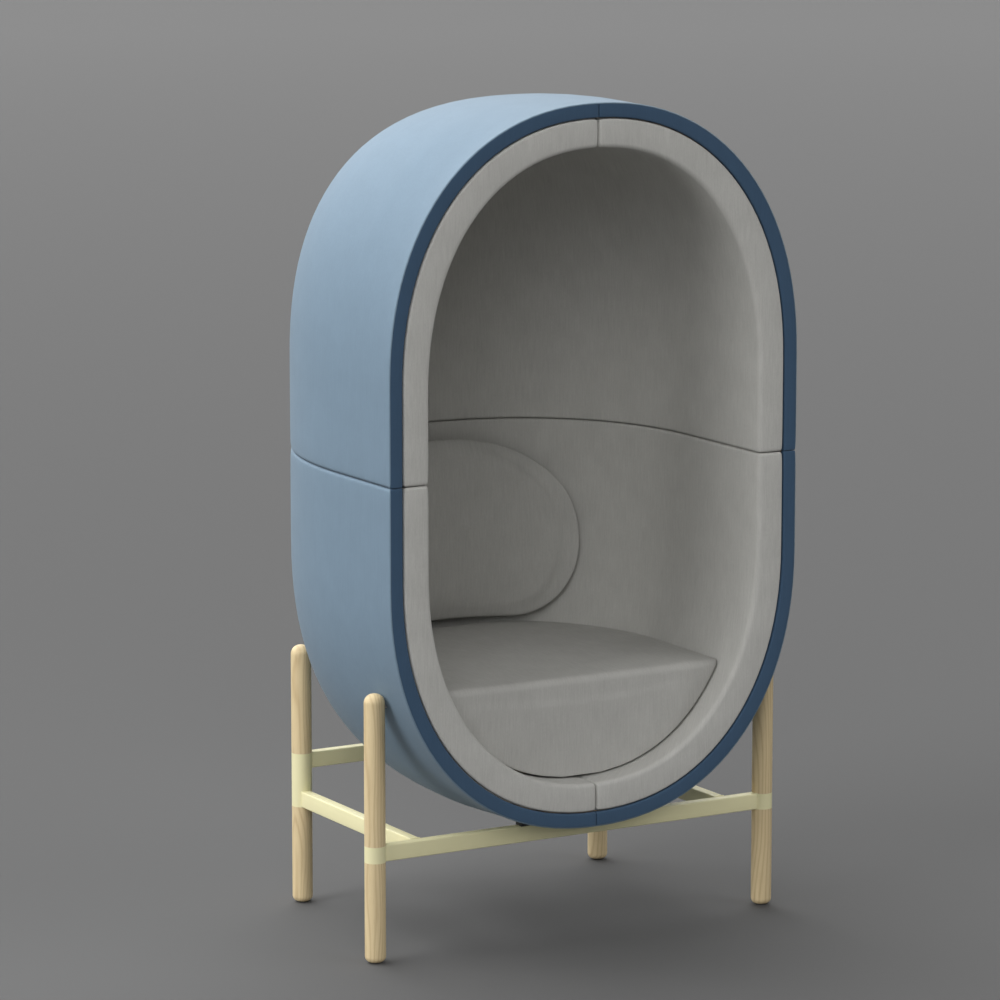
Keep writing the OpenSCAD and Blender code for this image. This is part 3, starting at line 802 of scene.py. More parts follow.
@dataclass(frozen=True)
class PodShape:
    """The rule that every face of the pod follows, from the outer cover to the inside of the liner.

    A face has its full size at the rim and closes at the back. Its width draws in from the depth
    flank_start, on a curve of plan_power, and its height from crown_start, on a curve of profile_power.
    A face further in starts later by the two lags, and its powers change by plan_fall and profile_rise,
    all in full at the wall's inner face. Seen from the front, straight_share of the height is straight.
    The rounded ends go from rim_power to body_power over the blend_depth behind rim_flat.
    """

    width: float
    height: float
    depth: float
    rim_y: float
    mid_z: float
    wall: float = 0.081
    flank_start: float = 0.187
    crown_start: float = 0.041
    flank_lag: float = 0.066
    crown_lag: float = 0.081
    straight_share: float = 0.271
    rim_power: float = 2.2
    body_power: float = 2.36
    rim_flat: float = 0.03
    blend_depth: float = 0.115
    plan_power: float = 2.28
    plan_fall: float = 0.09
    profile_power: float = 3.44
    profile_rise: float = 1.75
    seam_steps: tuple[float, ...] = (0, 0.0003, 0.0008, 0.0016, 0.0028, 0.0045, 0.007, 0.011, 0.018)
    flank_steps: int = 6
    end_steps: int = 27
    near_rows: int = 12
    dome_rows: int = 44
    tip_rows: int = 14
    halvings: int = 30

    @classmethod
    def from_frame(cls) -> "PodShape":
        """Take the pod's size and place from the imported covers.

        Returns:
            The pod's shape.
        """
        low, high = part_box("outer_cover_upper")
        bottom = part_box("outer_cover_lower")[0].z
        return cls(width=high.x - low.x, height=high.z - bottom, depth=high.y - low.y, rim_y=low.y,
                   mid_z=(high.z + bottom) / 2)

    @staticmethod
    def narrowing(depth: np.ndarray, start: Values, end: Values, power: Values) -> np.ndarray:
        """Return the share of the full size that is left at a depth.

        Args:
            depth: the depth.
            start, end: where the face starts to draw in, and where it closes.
            power: the squareness of the curve between them.

        Returns:
            The share, from 1 to 0.
        """
        share = np.clip((depth - start) / (end - start), 0, 1)
        return (1 - share**power) ** (1 / power)

    def lag(self, inset: Values) -> Values:
        """Return an inset as a share of the wall."""
        return inset / self.wall

    def half_width(self, inset: Values, depth: np.ndarray) -> np.ndarray:
        """Return a face's half width at a depth.

        Args:
            inset: the face's inset.
            depth: the depth.

        Returns:
            The half width at each depth.
        """
        lag = self.lag(inset)
        share = self.narrowing(depth, self.flank_start + self.flank_lag * lag, self.depth - inset,
                               self.plan_power - self.plan_fall * lag)
        return (self.width / 2 - inset) * share

    def half_height(self, inset: Values, depth: np.ndarray) -> np.ndarray:
        """Return a face's half height at a depth.

        Args:
            inset: the face's inset.
            depth: the depth.

        Returns:
            The half height at each depth.
        """
        lag = self.lag(inset)
        share = self.narrowing(depth, self.crown_start + self.crown_lag * lag, self.depth - inset,
                               self.profile_power + self.profile_rise * lag)
        return (self.height / 2 - inset) * share

    def squareness(self, depth: np.ndarray) -> np.ndarray:
        """Return the squareness of the rounded ends at a depth, where 2 is an ellipse."""
        share = np.clip((depth - self.rim_flat) / self.blend_depth, 0, 1)
        return self.rim_power + (self.body_power - self.rim_power) * share

    def columns(self) -> tuple[np.ndarray, np.ndarray]:
        """Return the columns of a quarter's grid, close together at both seams.

        Returns:
            For each column its share of the straight flank, and its angle round the end.
        """
        flank = self.straight_share * self.height / 2
        near = np.array(self.seam_steps)
        rest = np.linspace(near[-1], flank, self.flank_steps + 1)[1:]
        shares = np.concatenate([near, rest]) / flank
        angles = np.linspace(0, np.pi / 2, self.end_steps + 1)[1:-1]
        inner = self.width / 2 - self.wall
        close = np.arccos((near[::-1] / inner) ** (self.rim_power / 2))
        return (np.concatenate([shares, np.ones(len(angles) + len(close))]),
                np.concatenate([np.zeros(len(shares)), angles, close]))

    def rows_behind(self, inset: float, first: float) -> list[Pair]:
        """Return the rows of a face from a depth to just before its closed back.

        Args:
            inset: the face's inset.
            first: the first row's depth.

        Returns:
            The inset and the depth of each row.
        """
        start = self.flank_start + self.flank_lag * self.lag(inset)
        end = self.depth - inset
        power = self.plan_power - self.plan_fall * self.lag(inset)
        near = np.linspace(first, start, self.near_rows, endpoint=False)
        wide = np.cos(np.linspace(0, np.pi / 2, self.dome_rows, endpoint=False)) ** (2 / power)
        wide = np.concatenate([wide, wide[-1] * np.linspace(1, 0, self.tip_rows, endpoint=False)[1:] ** 2])
        turn = (1 - wide**power) ** (1 / power)
        return [(inset, depth) for depth in [*near, *(start + (end - start) * turn)]]

    def quarter(self, rows: Sequence[Pair], gap_x: float, gap_z: float) -> np.ndarray:
        """Return the grid of the upper right quarter of a face.

        Args:
            rows: the inset and depth of each row.
            gap_x, gap_z: half of the seam at the centre and of the seam at mid height.

        Returns:
            The points as rows, columns and X, Y, Z, with Z measured up from mid height.
        """
        flank, angle = self.columns()
        inset, depth = np.array(rows)[:, :1], np.array(rows)[:, 1:]
        wide, high = self.half_width(inset, depth), self.half_height(inset, depth)
        power, straight = self.squareness(depth), self.straight_share * high
        x = wide * np.maximum(np.cos(angle), 0) ** (2 / power)
        z = straight * flank + (high - straight) * np.sin(angle) ** (2 / power)
        x = gap_x + x * np.maximum(wide - gap_x, 0) / np.maximum(wide, TINY)
        z = gap_z + z * np.maximum(high - gap_z, 0) / np.maximum(high, TINY)
        return np.stack([x, self.rim_y + np.broadcast_to(depth, x.shape), z], axis=-1)

    def tip(self, inset: float, gap_x: float, gap_z: float) -> np.ndarray:
        """Return the point that closes a face at its back."""
        return np.array([gap_x, self.rim_y + self.depth - inset, gap_z])

    def inside(self, points: np.ndarray, inset: float) -> np.ndarray:
        """Draw points that lie past a face back to it, towards the middle of the pod.

        Args:
            points: the points.
            inset: the face's inset.

        Returns:
            The moved points.
        """
        depth = points[:, 1] - self.rim_y
        wide, high = self.half_width(inset, depth), self.half_height(inset, depth)
        straight, power = self.straight_share * high, self.squareness(depth)
        rise = points[:, 2] - self.mid_z
        over = np.maximum(np.abs(rise) - straight, 0)
        reach = ((np.abs(points[:, 0]) / np.maximum(wide, TINY)) ** power
                 + (over / np.maximum(high - straight, TINY)) ** power)
        pull = np.where(reach > 1, np.maximum(reach, 1) ** (-1 / power), 1)
        moved = points.copy()
        moved[:, 0] *= pull
        moved[:, 2] = self.mid_z + np.sign(rise) * (np.minimum(np.abs(rise), straight) + over * pull)
        return moved

    def width_at(self, inset: float, depth: np.ndarray, rise: np.ndarray) -> np.ndarray:
        """Return a face's half width at a depth and at a height above or below mid height.

        Args:
            inset: the face's inset.
            depth: the depth.
            rise: the height above or below mid height.

        Returns:
            The half width at each place.
        """
        wide, high = self.half_width(inset, depth), self.half_height(inset, depth)
        straight, power = self.straight_share * high, self.squareness(depth)
        share = np.clip((rise - straight) / np.maximum(high - straight, TINY), 0, 1)
        return wide * (1 - share**power) ** (1 / power)

    def wall_depth(self, inset: float, x: np.ndarray, rise: np.ndarray) -> np.ndarray:
        """Return the depth of a face behind a place, found by halving the interval.

        Args:
            inset: the face's inset.
            x: the place's distance from the centre.
            rise: its height above or below mid height.

        Returns:
            The depth at each place.
        """
        low = np.zeros_like(x)
        high = np.full_like(x, self.depth - inset)
        for _ in range(self.halvings):
            middle = (low + high) / 2
            open_there = self.width_at(inset, middle, rise) > x
            low, high = np.where(open_there, middle, low), np.where(open_there, high, middle)
        return low


def outward(grid: np.ndarray) -> np.ndarray:
    """Return a grid's unit normals, where its rows run back and its columns run up.

    Args:
        grid: the grid, as rows, columns and X, Y, Z.

    Returns:
        The normals, in the same order.
    """
    back, up = np.gradient(grid, axis=0), np.gradient(grid, axis=1)
    normal = np.cross(back, up)
    return normal / np.maximum(np.linalg.norm(normal, axis=-1, keepdims=True), TINY)


def numbered(grid: np.ndarray) -> np.ndarray:
    """Return the number of each point of a grid, as rows and columns."""
    rows, cols = grid.shape[:2]
    return np.arange(rows * cols).reshape(rows, cols)


def strip(first: np.ndarray, second: np.ndarray) -> Faces:
    """Return the faces between two rows of point numbers, or between the rows of two stacks."""
    corners = [first[..., :-1], first[..., 1:], second[..., 1:], second[..., :-1]]
    return np.stack(corners, axis=-1).reshape(-1, 4).tolist()


def closed_grid(seen: np.ndarray, hidden: np.ndarray, tips: np.ndarray | None) -> tuple[np.ndarray, Faces]:
    """Close two matched grids into one solid.

    Args:
        seen, hidden: the two faces, as rows, columns and X, Y, Z.
        tips: the point behind the last row of each face, or None where the last rows are joined.

    Returns:
        The solid's points and faces.
    """
    number = numbered(seen)
    twin = number + number.size
    points = [seen.reshape(-1, 3), hidden.reshape(-1, 3)]
    faces = strip(number[:-1], number[1:]) + strip(twin[1:], twin[:-1])
    faces += strip(twin[0], number[0]) + strip(number[:, 0], twin[:, 0]) + strip(twin[:, -1], number[:, -1])
    if tips is None:
        return np.concatenate(points), faces + strip(number[-1], twin[-1])
    tip, tip_twin = 2 * number.size, 2 * number.size + 1
    last, last_twin = number[-1].tolist(), twin[-1].tolist()
    faces += [[a, b, tip] for a, b in zip(last[:-1], last[1:])]
    faces += [[b, a, tip_twin] for a, b in zip(last_twin[:-1], last_twin[1:])]
    faces += [[last[end], tip, tip_twin, last_twin[end]] for end in (0, -1)]
    return np.concatenate([*points, tips]), faces


def mirrored(points: np.ndarray, side: Side, half: Half, mid_z: float) -> np.ndarray:
    """Move points of the upper right quarter to another quarter of the pod.

    Args:
        points: the points, with Z measured up from mid height.
        side, half: the quarter to go to.
        mid_z: the height of the middle seam.

    Returns:
        The points in the model's frame.
    """
    return points * np.array([side.value, 1, half.value]) + np.array([0, 0, mid_z])


@dataclass
class OuterCover:
    """The light blue cover in two halves, and the dark band in four quarters that edges the rim."""

    pod: PodShape
    palette: Palette
    thickness: float = 0.01
    edge_round: float = 0.0022
    seam: SeamEdge = SeamEdge(0.0008, 0.0045, 0.0018, 0.01)
    band_in: float = 0.0026
    band_width: float = 0.0267
    band_thickness: float = 0.01
    band_outer_round: float = 0.0006
    band_inner_round: float = 0.003
    band_crown: float = 0.0003
    band_steps: int = 6
    band_seam: SeamEdge = SeamEdge(0.0005, 0.002, 0.0004, 0.004)
    arc_steps: int = 4

    def cover(self, half: Half) -> bpy.types.Object:
        """Build one half of the cover.

        Args:
            half: the half of the pod.

        Returns:
            The piece.
        """
        edge, thick, pod, gap = self.edge_round, self.thickness, self.pod, self.seam.half_gap
        lip = arc((edge, edge), -edge, 90, 0, self.arc_steps)
        inner_lip = [(edge + (thick - edge) * k / self.arc_steps,
                      thick - edge + 2 * edge * k / self.arc_steps) for k in range(self.arc_steps + 1)]
        lip_end, inner_lip_end = 3 * edge, thick + 4 * edge
        seen = self.whole(pod.quarter(lip + pod.rows_behind(0, lip_end), 0, gap))
        hidden = self.whole(pod.quarter(inner_lip + pod.rows_behind(thick, inner_lip_end), 0, gap))
        seen = seen - outward(seen) * self.seam.drop(seen[..., 2:] - gap)
        tips = np.stack([pod.tip(inset, 0, gap) for inset in (0, thick)])
        tips[0, 1] -= self.seam.drop(np.zeros(1))[0]
        points, faces = closed_grid(seen, hidden, tips)
        return mesh_piece(f"felt_cover_{half.label}", mirrored(points, Side.RIGHT, half, pod.mid_z), faces)

    @staticmethod
    def whole(quarter: np.ndarray) -> np.ndarray:
        """Add the mirror image of a quarter, with its columns running on down the other side."""
        return np.concatenate([quarter, quarter[:, -2::-1] * np.array([-1, 1, 1])], axis=1)

    def band(self, half: Half, side: Side) -> bpy.types.Object:
        """Build one quarter of the edge band.

        Args:
            half, side: the quarter of the pod.

        Returns:
            The piece.
        """
        outer, inner, thick = self.band_outer_round, self.band_inner_round, self.band_thickness
        start, end, steps = self.band_in, self.band_width, self.band_steps
        front = [(start + outer + (end - inner - start - outer) * k / steps,
                  -self.band_crown * math.sin(math.pi * k / steps)) for k in range(1, steps)]
        section = (arc((start + outer, outer), outer, 180, 270, self.arc_steps) + front
                   + arc((end - inner, inner), inner, 270, 360, self.arc_steps)
                   + [(end, thick), (start + thick, thick)])
        gap = self.band_seam.half_gap
        loop = self.pod.quarter(section, gap, gap)
        distance = np.minimum(loop[..., 2], loop[..., 0]) - gap
        depth = loop[..., 1] - self.pod.rim_y
        loop[..., 1] += self.band_seam.drop(distance) * (1 - depth / thick)
        number = numbered(loop)
        faces = strip(number, np.roll(number, -1, axis=0))
        faces += [number[:, 0].tolist(), number[::-1, -1].tolist()]
        points = mirrored(loop.reshape(-1, 3), side, half, self.pod.mid_z)
        return mesh_piece(f"felt_band_{half.label}_{side.label}", points, faces)

    def build(self) -> None:
        """Build the covers and bands, and hand them over."""
        for half in Half:
            hand_over(self.cover(half), Body.CHAIR, Slot.OUTER_FABRIC, self.palette,
                      [f"outer_cover_{half.label}"])
            for side in Side:
                hand_over(self.band(half, side), Body.CHAIR, Slot.EDGE_FABRIC, self.palette,
                          [f"edge_band_{half.label}_{side.label}"])


@dataclass
class Liner:
    """The grey padded liner in four quarters, which makes the rim and the whole inside."""

    pod: PodShape
    palette: Palette
    rim_in: float = 0.0291
    back_in: float = 0.0276
    groove: float = 0.012
    edge_round: float = 0.004
    mouth_round: float = 0.009
    rim_crown: float = 0.0008
    seam: SeamEdge = SeamEdge(0.0008, 0.0045, 0.0018, 0.009)
    arc_steps: int = 6
    rim_steps: int = 8

    def quarter(self, half: Half, side: Side) -> bpy.types.Object:
        """Build one quarter of the liner.

        Args:
            half, side: the quarter of the pod.

        Returns:
            The piece.
        """
        pod, edge, mouth, gap = self.pod, self.edge_round, self.mouth_round, self.seam.half_gap
        groove = [(self.rim_in, self.groove), (self.rim_in, (self.groove + edge) / 2)]
        first, last = self.rim_in + edge, pod.wall - mouth
        rim = [(first + (last - first) * k / self.rim_steps,
                -self.rim_crown * math.sin(math.pi * k / self.rim_steps)) for k in range(1, self.rim_steps)]
        front = (groove + arc((first, edge), edge, 180, 270, self.arc_steps) + rim
                 + arc((last, mouth), mouth, 270, 360, self.arc_steps))
        behind = [(self.back_in, self.groove + mouth * k / len(front)) for k in range(len(front))]
        front_end, behind_end = 2 * mouth, self.groove + 2 * mouth
        seen = pod.quarter(front + pod.rows_behind(pod.wall, front_end), gap, gap)
        hidden = pod.quarter(behind + pod.rows_behind(self.back_in, behind_end), gap, gap)
        drop = np.maximum(self.seam.drop(seen[..., 2:] - gap), self.seam.drop(seen[..., :1] - gap))
        seen = seen + outward(seen) * drop
        tips = np.stack([pod.tip(inset, gap, gap) for inset in (pod.wall, self.back_in)])
        tips[0, 1] += self.seam.drop(np.zeros(1))[0]
        points, faces = closed_grid(seen, hidden, tips)
        points = mirrored(points, side, half, pod.mid_z)
        piece = mesh_piece(f"liner_pad_{half.label}_{side.label}", points, faces)
        spots = positions(piece.data)
        lay_weave(piece.data, spots[:, 1] - pod.rim_y - np.abs(spots[:, 0]), spots[:, 2])
        return piece

    def build(self) -> None:
        """Build the four quarters and hand them over."""
        for half in Half:
            for side in Side:
                piece = self.quarter(half, side)
                hand_over(piece, Body.CHAIR, Slot.LINER_FABRIC, self.palette,
                          [f"liner_{half.label}_{side.label}"])


@dataclass(frozen=True)
class Stuffing:
    """Foam pushing out against its cloth cover, by a short cloth simulation."""

    voxel: float = 0.006
    pressure: float = 4.0
    cap: float = 0.005
    frames: int = 20
    quality: int = 5
    mass: float = 0.3
    stiffness: float = 15.0
    shear: float = 5.0
    bending: float = 4.0
    reach: float = 0.025

    def fill(self, piece: bpy.types.Object) -> None:
        """Swell a closed piece by the smoothed bulge of a simulated copy with even faces.

        Args:
            piece: the piece, a little smaller than it should end.
        """
        copy = new_object(f"{piece.name}_even", piece.data.copy())
        remesh = copy.modifiers.new("even_faces", "REMESH")
        remesh.mode = "VOXEL"
        remesh.voxel_size = self.voxel
        settle(copy)
        start = positions(copy.data)
        self.simulate(copy)
        move = positions(copy.data) - start
        bpy.data.meshes.remove(copy.data)
        spots = positions(piece.data)
        bulge = self.even_out(start, move, spots)
        length = np.linalg.norm(bulge, axis=1, keepdims=True)
        place_points(piece.data, spots + bulge * np.minimum(1, self.cap / np.maximum(length, TINY)))

    def even_out(self, start: np.ndarray, move: np.ndarray, spots: np.ndarray) -> np.ndarray:
        """Return the mean move of the points round each spot, the nearer ones counting for more.

        Args:
            start: the points that moved.
            move: how far each went.
            spots: where the mean is wanted.

        Returns:
            The mean moves.
        """
        tree = KDTree(len(start))
        for number, point in enumerate(start):
            tree.insert(point, number)
        tree.balance()
        means = np.zeros_like(spots)
        for number, spot in enumerate(spots):
            near = tree.find_range(spot, self.reach) or [tree.find(spot)]
            share = np.array([max(TINY, 1 - away / self.reach) for _, _, away in near])
            means[number] = share @ move[[index for _, index, _ in near]] / share.sum()
        return means

    def simulate(self, piece: bpy.types.Object) -> None:
        """Run the cloth simulation and keep its last frame as the piece's mesh.

        Args:
            piece: the piece.
        """
        cloth = piece.modifiers.new("cover", "CLOTH")
        cloth.settings.quality = self.quality
        cloth.settings.mass = self.mass
        cloth.settings.tension_stiffness = self.stiffness
        cloth.settings.compression_stiffness = self.stiffness
        cloth.settings.shear_stiffness = self.shear
        cloth.settings.bending_stiffness = self.bending
        cloth.settings.use_pressure = True
        cloth.settings.uniform_pressure_force = self.pressure
        cloth.settings.effector_weights.gravity = 0
        cloth.collision_settings.use_collision = False
        cloth.point_cache.frame_start = 1
        cloth.point_cache.frame_end = self.frames
        scene = bpy.context.scene
        for step in range(1, self.frames + 1):
            scene.frame_set(step)
        settle(piece)
        scene.frame_set(1)


@dataclass
class SeatCushion:
    """The seat pad: a flat crowned top over a tall front face that follows the liner."""

    pod: PodShape
    palette: Palette
    stuffing: Stuffing = Stuffing(cap=0.001)
    top_round: float = 0.014
    crown: float = 0.003
    crown_power: int = 4
    pad: float = 0.074
    apron: float = 0.031
    side_gap: float = 0.0016
    shrink: float = 0.001
    edge: SeamEdge = SeamEdge(0, 0.003, 0.001, 0.008)
    front_rows: int = 26
    edge_rows: int = 8
    top_rows: int = 40
    columns: int = 72

    def build(self) -> None:
        """Build the pad, swell it and hand it over."""
        low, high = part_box("seat_cushion")
        table = self.rows(low, high)
        across = np.sin(np.linspace(-np.pi / 2, np.pi / 2, self.columns + 1))
        seen = self.sheet(table[:, 0], table[:, 1], across)
        reach = (1 - np.abs(across)) * np.abs(seen[:, :1, 0])
        seen[..., 2] += self.crown * table[:, 4:] * (1 - across**self.crown_power)
        seen = seen - outward(seen) * self.edge.drop(reach)[..., None] * np.array([0, 1, 1])
        hidden = self.sheet(table[:, 2], table[:, 3], across)
        piece = mesh_piece("seat_pad", *closed_grid(seen, hidden, None))
        self.stuffing.fill(piece)
        spots = self.pod.inside(positions(piece.data), self.pod.wall + self.side_gap)
        spots[:, 2] = np.minimum(spots[:, 2], high.z)
        place_points(piece.data, spots)
        lay_weave(piece.data, spots[:, 0], spots[:, 1] + spots[:, 2])
        hand_over(piece, Body.CHAIR, Slot.CUSHION_FABRIC, self.palette, ["seat_cushion"])

    def rows(self, low: Vector, high: Vector) -> np.ndarray:
        """Return the pad's rows, up its front face and back over its top.

        Args:
            low, high: the corners of the pad's box.

        Returns:
            For each row the Y and Z of the seen face, the Y and Z of the hidden one, and its share of
            the crown.
        """
        top_z, front_y = high.z - self.crown - self.shrink, low.y + self.shrink
        under, edge_z = top_z - self.pad, top_z - self.top_round
        first, behind = front_y + self.top_round, front_y + self.apron
        rows = []
        for k in range(self.front_rows):
            z = low.z + (edge_z - low.z) * k / self.front_rows
            rows.append((front_y, z, behind, min(z, under), 0))
        for y, z in arc((first, edge_z), self.top_round, 180, 90, self.edge_rows):
            rows.append((y, z, behind, under, 0))
        for k in range(1, self.top_rows + 1):
            share = k / self.top_rows
            y = first + (high.y - first) * share
            rows.append((y, top_z, max(y, behind), under, math.sin(math.pi * share)))
        return np.array(rows)

    def sheet(self, y: np.ndarray, z: np.ndarray, across: np.ndarray) -> np.ndarray:
        """Return a grid that spans the inside of the pod at each row.

        Args:
            y, z: each row's place.
            across: each column's share of the half width, from -1 to 1.

        Returns:
            The grid.
        """
        inset = self.pod.wall + self.side_gap + self.shrink
        wide = self.pod.width_at(inset, y - self.pod.rim_y, self.pod.mid_z - z)
        x = -wide[:, None] * across
        return np.stack(np.broadcast_arrays(x, y[:, None], z[:, None]), axis=-1)


@dataclass
class BackCushion:
    """The loose back cushion, a flat rounded pad that leans on the liner above the seat."""

    pod: PodShape
    palette: Palette
    stuffing: Stuffing = Stuffing(voxel=0.005)
    thickness: float = 0.054
    wide_share: float = 0.44
    corner_width: float = 0.113
    top_power: float = 2.38
    edge_power: float = 2.1
    shrink: float = 0.003
    wall_gap: float = 0.0006
    lean_gap: float = 0.006
    rings: int = 24
    over_steps: int = 64
    corner_steps: int = 20
    flat_steps: int = 20

    def outline(self, low: Vector, high: Vector) -> np.ndarray:
        """Return the cushion's outline as X and Z from its widest place.

        Args:
            low, high: the corners of the cushion's box.

        Returns:
            The points, from the right over the top and back along the bottom.
        """
        wide = (high.x - low.x) / 2 - self.shrink
        tall, deep = (np.array([1 - self.wide_share, self.wide_share]) * (high.z - low.z)) - self.shrink
        over = np.linspace(0, np.pi, self.over_steps, endpoint=False)
        turn = np.linspace(0, np.pi / 2, self.corner_steps)
        flat = np.linspace(-1, 1, self.flat_steps)[1:-1] * (wide - self.corner_width)
        power = 2 / self.top_power
        corner_x = wide - self.corner_width * (1 - np.cos(turn))
        corner_z = -deep * np.sin(turn)
        top_x = np.sign(np.cos(over)) * wide * np.abs(np.cos(over)) ** power
        top_z = tall * np.sin(over) ** power
        x = np.concatenate([top_x, -corner_x, flat, corner_x[:0:-1]])
        z = np.concatenate([top_z, corner_z, np.full(len(flat), -deep), corner_z[:0:-1]])
        return np.stack([x, z], axis=-1)

    def build(self) -> None:
        """Build the cushion, swell it, lean it on the liner and hand it over."""
        low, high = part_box("back_cushion")
        piece = self.pad(low, high)
        self.stuffing.fill(piece)
        spots = positions(piece.data)
        spots[:, 1] = np.minimum(spots[:, 1], self.wall_y(spots[:, 0], spots[:, 2]) - self.wall_gap)
        spots[:, 2] = np.maximum(spots[:, 2], low.z)
        place_points(piece.data, spots)
        lay_weave(piece.data, spots[:, 0], spots[:, 2])
        hand_over(piece, Body.BACK_CUSHION, Slot.CUSHION_FABRIC, self.palette, ["back_cushion"])

    def pad(self, low: Vector, high: Vector) -> bpy.types.Object:
        """Build the cushion as rings, from the middle of its front over its edge to the middle behind.

        Args:
            low, high: the corners of the cushion's box.

        Returns:
            The piece.
        """
        rim = self.outline(low, high)
        share = np.sin(np.linspace(0, np.pi / 2, self.rings + 1))[:, None]
        swell = (1 - share**self.edge_power) ** (1 / self.edge_power)
        x = share * rim[:, 0]
        z = share * rim[:, 1] + low.z + self.wide_share * (high.z - low.z)
        half = self.thickness / 2 - self.shrink / 2
        middle = self.wall_y(x, z) - self.wall_gap - self.thickness / 2
        front, rear = (np.stack([x, middle + swell * half * way, z], axis=-1) for way in (-1, 1))
        rings = np.concatenate([front, rear[-2::-1]])
        number = numbered(rings)
        closed = np.concatenate([number, number[:, :1]], axis=1)
        return mesh_piece("back_pad", rings.reshape(-1, 3), strip(closed[:-1], closed[1:]))

    def wall_y(self, x: np.ndarray, z: np.ndarray) -> np.ndarray:
        """Return where the liner's face lies behind a place, as a Y coordinate."""
        rise = np.abs(self.pod.mid_z - z)
        return self.pod.rim_y + self.pod.wall_depth(self.pod.wall + self.lean_gap, np.abs(x), rise)


def sleeve_box(end: End, side: Side) -> tuple[Vector, Vector]:
    """Return the corners of a leg sleeve's box."""
    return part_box(f"sleeve_{end.label}_{side.label}")


@dataclass
class SteelFrame:
    """The four rails of rectangular tube, and the weld beads where they meet the sleeves and each other."""

    palette: Palette
    corner: float = 0.0025
    corner_steps: int = 5
    sink: float = 0.0033
    bead: float = 0.0011
    bead_sides: int = 8
    ripple: float = 0.0002
    ripple_pitch: float = 0.0022
    ripple_steps: int = 6

    def section(self, tree: GeometryTree) -> bpy.types.NodeSocket:
        """Add a rounded rectangle to a tree, with its width, height and corner as named inputs."""
        plain = tree.add("GeometryNodeCurvePrimitiveQuadrilateral", None, Width=tree.size("width"),
                         Height=tree.size("height"))
        return tree.add("GeometryNodeFilletCurve", {"mode": "POLY"}, Curve=plain.outputs["Curve"],
                        Radius=tree.size("corner"), Count=self.corner_steps).outputs["Curve"]

    @staticmethod
    def path(tree: GeometryTree) -> bpy.types.NodeSocket:
        """Add the node that takes the tree's edges as its path."""
        edges = tree.start.outputs["Geometry"]
        return tree.add("GeometryNodeMeshToCurve", None, Mesh=edges).outputs["Curve"]

    def rail_tree(self) -> GeometryTree:
        """Write the tree that sweeps a rail's section along its middle line.

        Returns:
            The tree.
        """
        tree = GeometryTree("rail_sweep")
        level = tree.add("GeometryNodeSetCurveNormal", {"mode": "Z_UP"}, Curve=self.path(tree))
        bar = tree.add("GeometryNodeCurveToMesh", None, Curve=level.outputs["Curve"],
                       Profile_Curve=self.section(tree), Fill_Caps=True)
        tree.close(bar.outputs["Mesh"], self.palette[Slot.FRAME_STEEL])
        return tree

    def bead_tree(self) -> GeometryTree:
        """Write the tree that lays a rippled bead along each closed path.

        Returns:
            The tree.
        """
        tree = GeometryTree("weld_bead")
        pitch = tree.size("ripple_pitch")
        even = tree.add("GeometryNodeResampleCurve", {"mode": "LENGTH"}, Curve=self.path(tree),
                        Length=tree.math("DIVIDE", pitch, float(self.ripple_steps)))
        along = tree.add("GeometryNodeSplineParameter").outputs["Length"]
        turn = tree.math("DIVIDE", tree.math("MULTIPLY", along, 2 * math.pi), pitch)
        swell = tree.math("MULTIPLY", tree.math("SINE", turn), tree.size("ripple"))
        ring = tree.add("GeometryNodeCurvePrimitiveCircle", None, Resolution=self.bead_sides, Radius=1.0)
        radius = tree.math("ADD", tree.size("radius"), swell)
        bead = tree.add("GeometryNodeCurveToMesh", None, Curve=even.outputs["Curve"],
                        Profile_Curve=ring.outputs["Curve"], Scale=radius)
        tree.close(bead.outputs["Mesh"], self.palette[Slot.FRAME_STEEL])
        return tree

    def loop(self, centre: Vector, across: Vector, thick: float, tall: float, leg_r: float) -> list[Vector]:
        """Return the line on which a rail's outside meets a sleeve, or a flat face.

        Args:
            centre: the leg's axis, or the middle of the joint on a flat face, at the rail's height.
            across: the direction across the rail, which runs on square to it and to Z.
            thick, tall: the rail's thickness and height.
            leg_r: the sleeve's radius, or 0 for a flat face.

        Returns:
            The line's points.
        """
        half_t, half_h = thick / 2 - self.corner, tall / 2 - self.corner
        corners = [(half_t, half_h), (-half_t, half_h), (-half_t, -half_h), (half_t, -half_h)]
        ring = [point for k, corner in enumerate(corners)
                for point in arc(corner, self.corner, 90 * k, 90 * k + 90, self.corner_steps)]
        away = across.cross(Vector((0, 0, 1)))
        return [centre + across * u + away * math.sqrt(max(leg_r**2 - u**2, 0)) + Vector((0, 0, v))
                for u, v in ring]

    def build(self) -> None:
        """Build the rails and the beads, and hand them over."""
        rail_tree = self.rail_tree()
        loops: list[list[Vector]] = []
        for node, ends in self.joints().items():
            low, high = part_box(node)
            run = 0 if high.x - low.x > high.y - low.y else 1
            thick, tall = high[1 - run] - low[1 - run], high.z - low.z
            middle = [(low + high) / 2 for _ in ends]
            for point, (place, _) in zip(middle, ends):
                point[run] = place[run]
            away = (middle[1] - middle[0]).normalized()
            for point, (_, leg_r), way in zip(middle, ends, (away, -away)):
                loops.append(self.loop(point.copy(), Vector((0, 0, 1)).cross(way), thick, tall, leg_r))
                point += way * max(leg_r - self.sink, 0)
            line = new_mesh(f"{node}_line", [tuple(point) for point in middle], edges=[(0, 1)])
            rail = rail_tree.run(f"tube_{node}", line, width=thick, height=tall, corner=self.corner)
            hand_over(rail, Body.CHAIR, Slot.FRAME_STEEL, self.palette, [node])
        self.beads(loops)

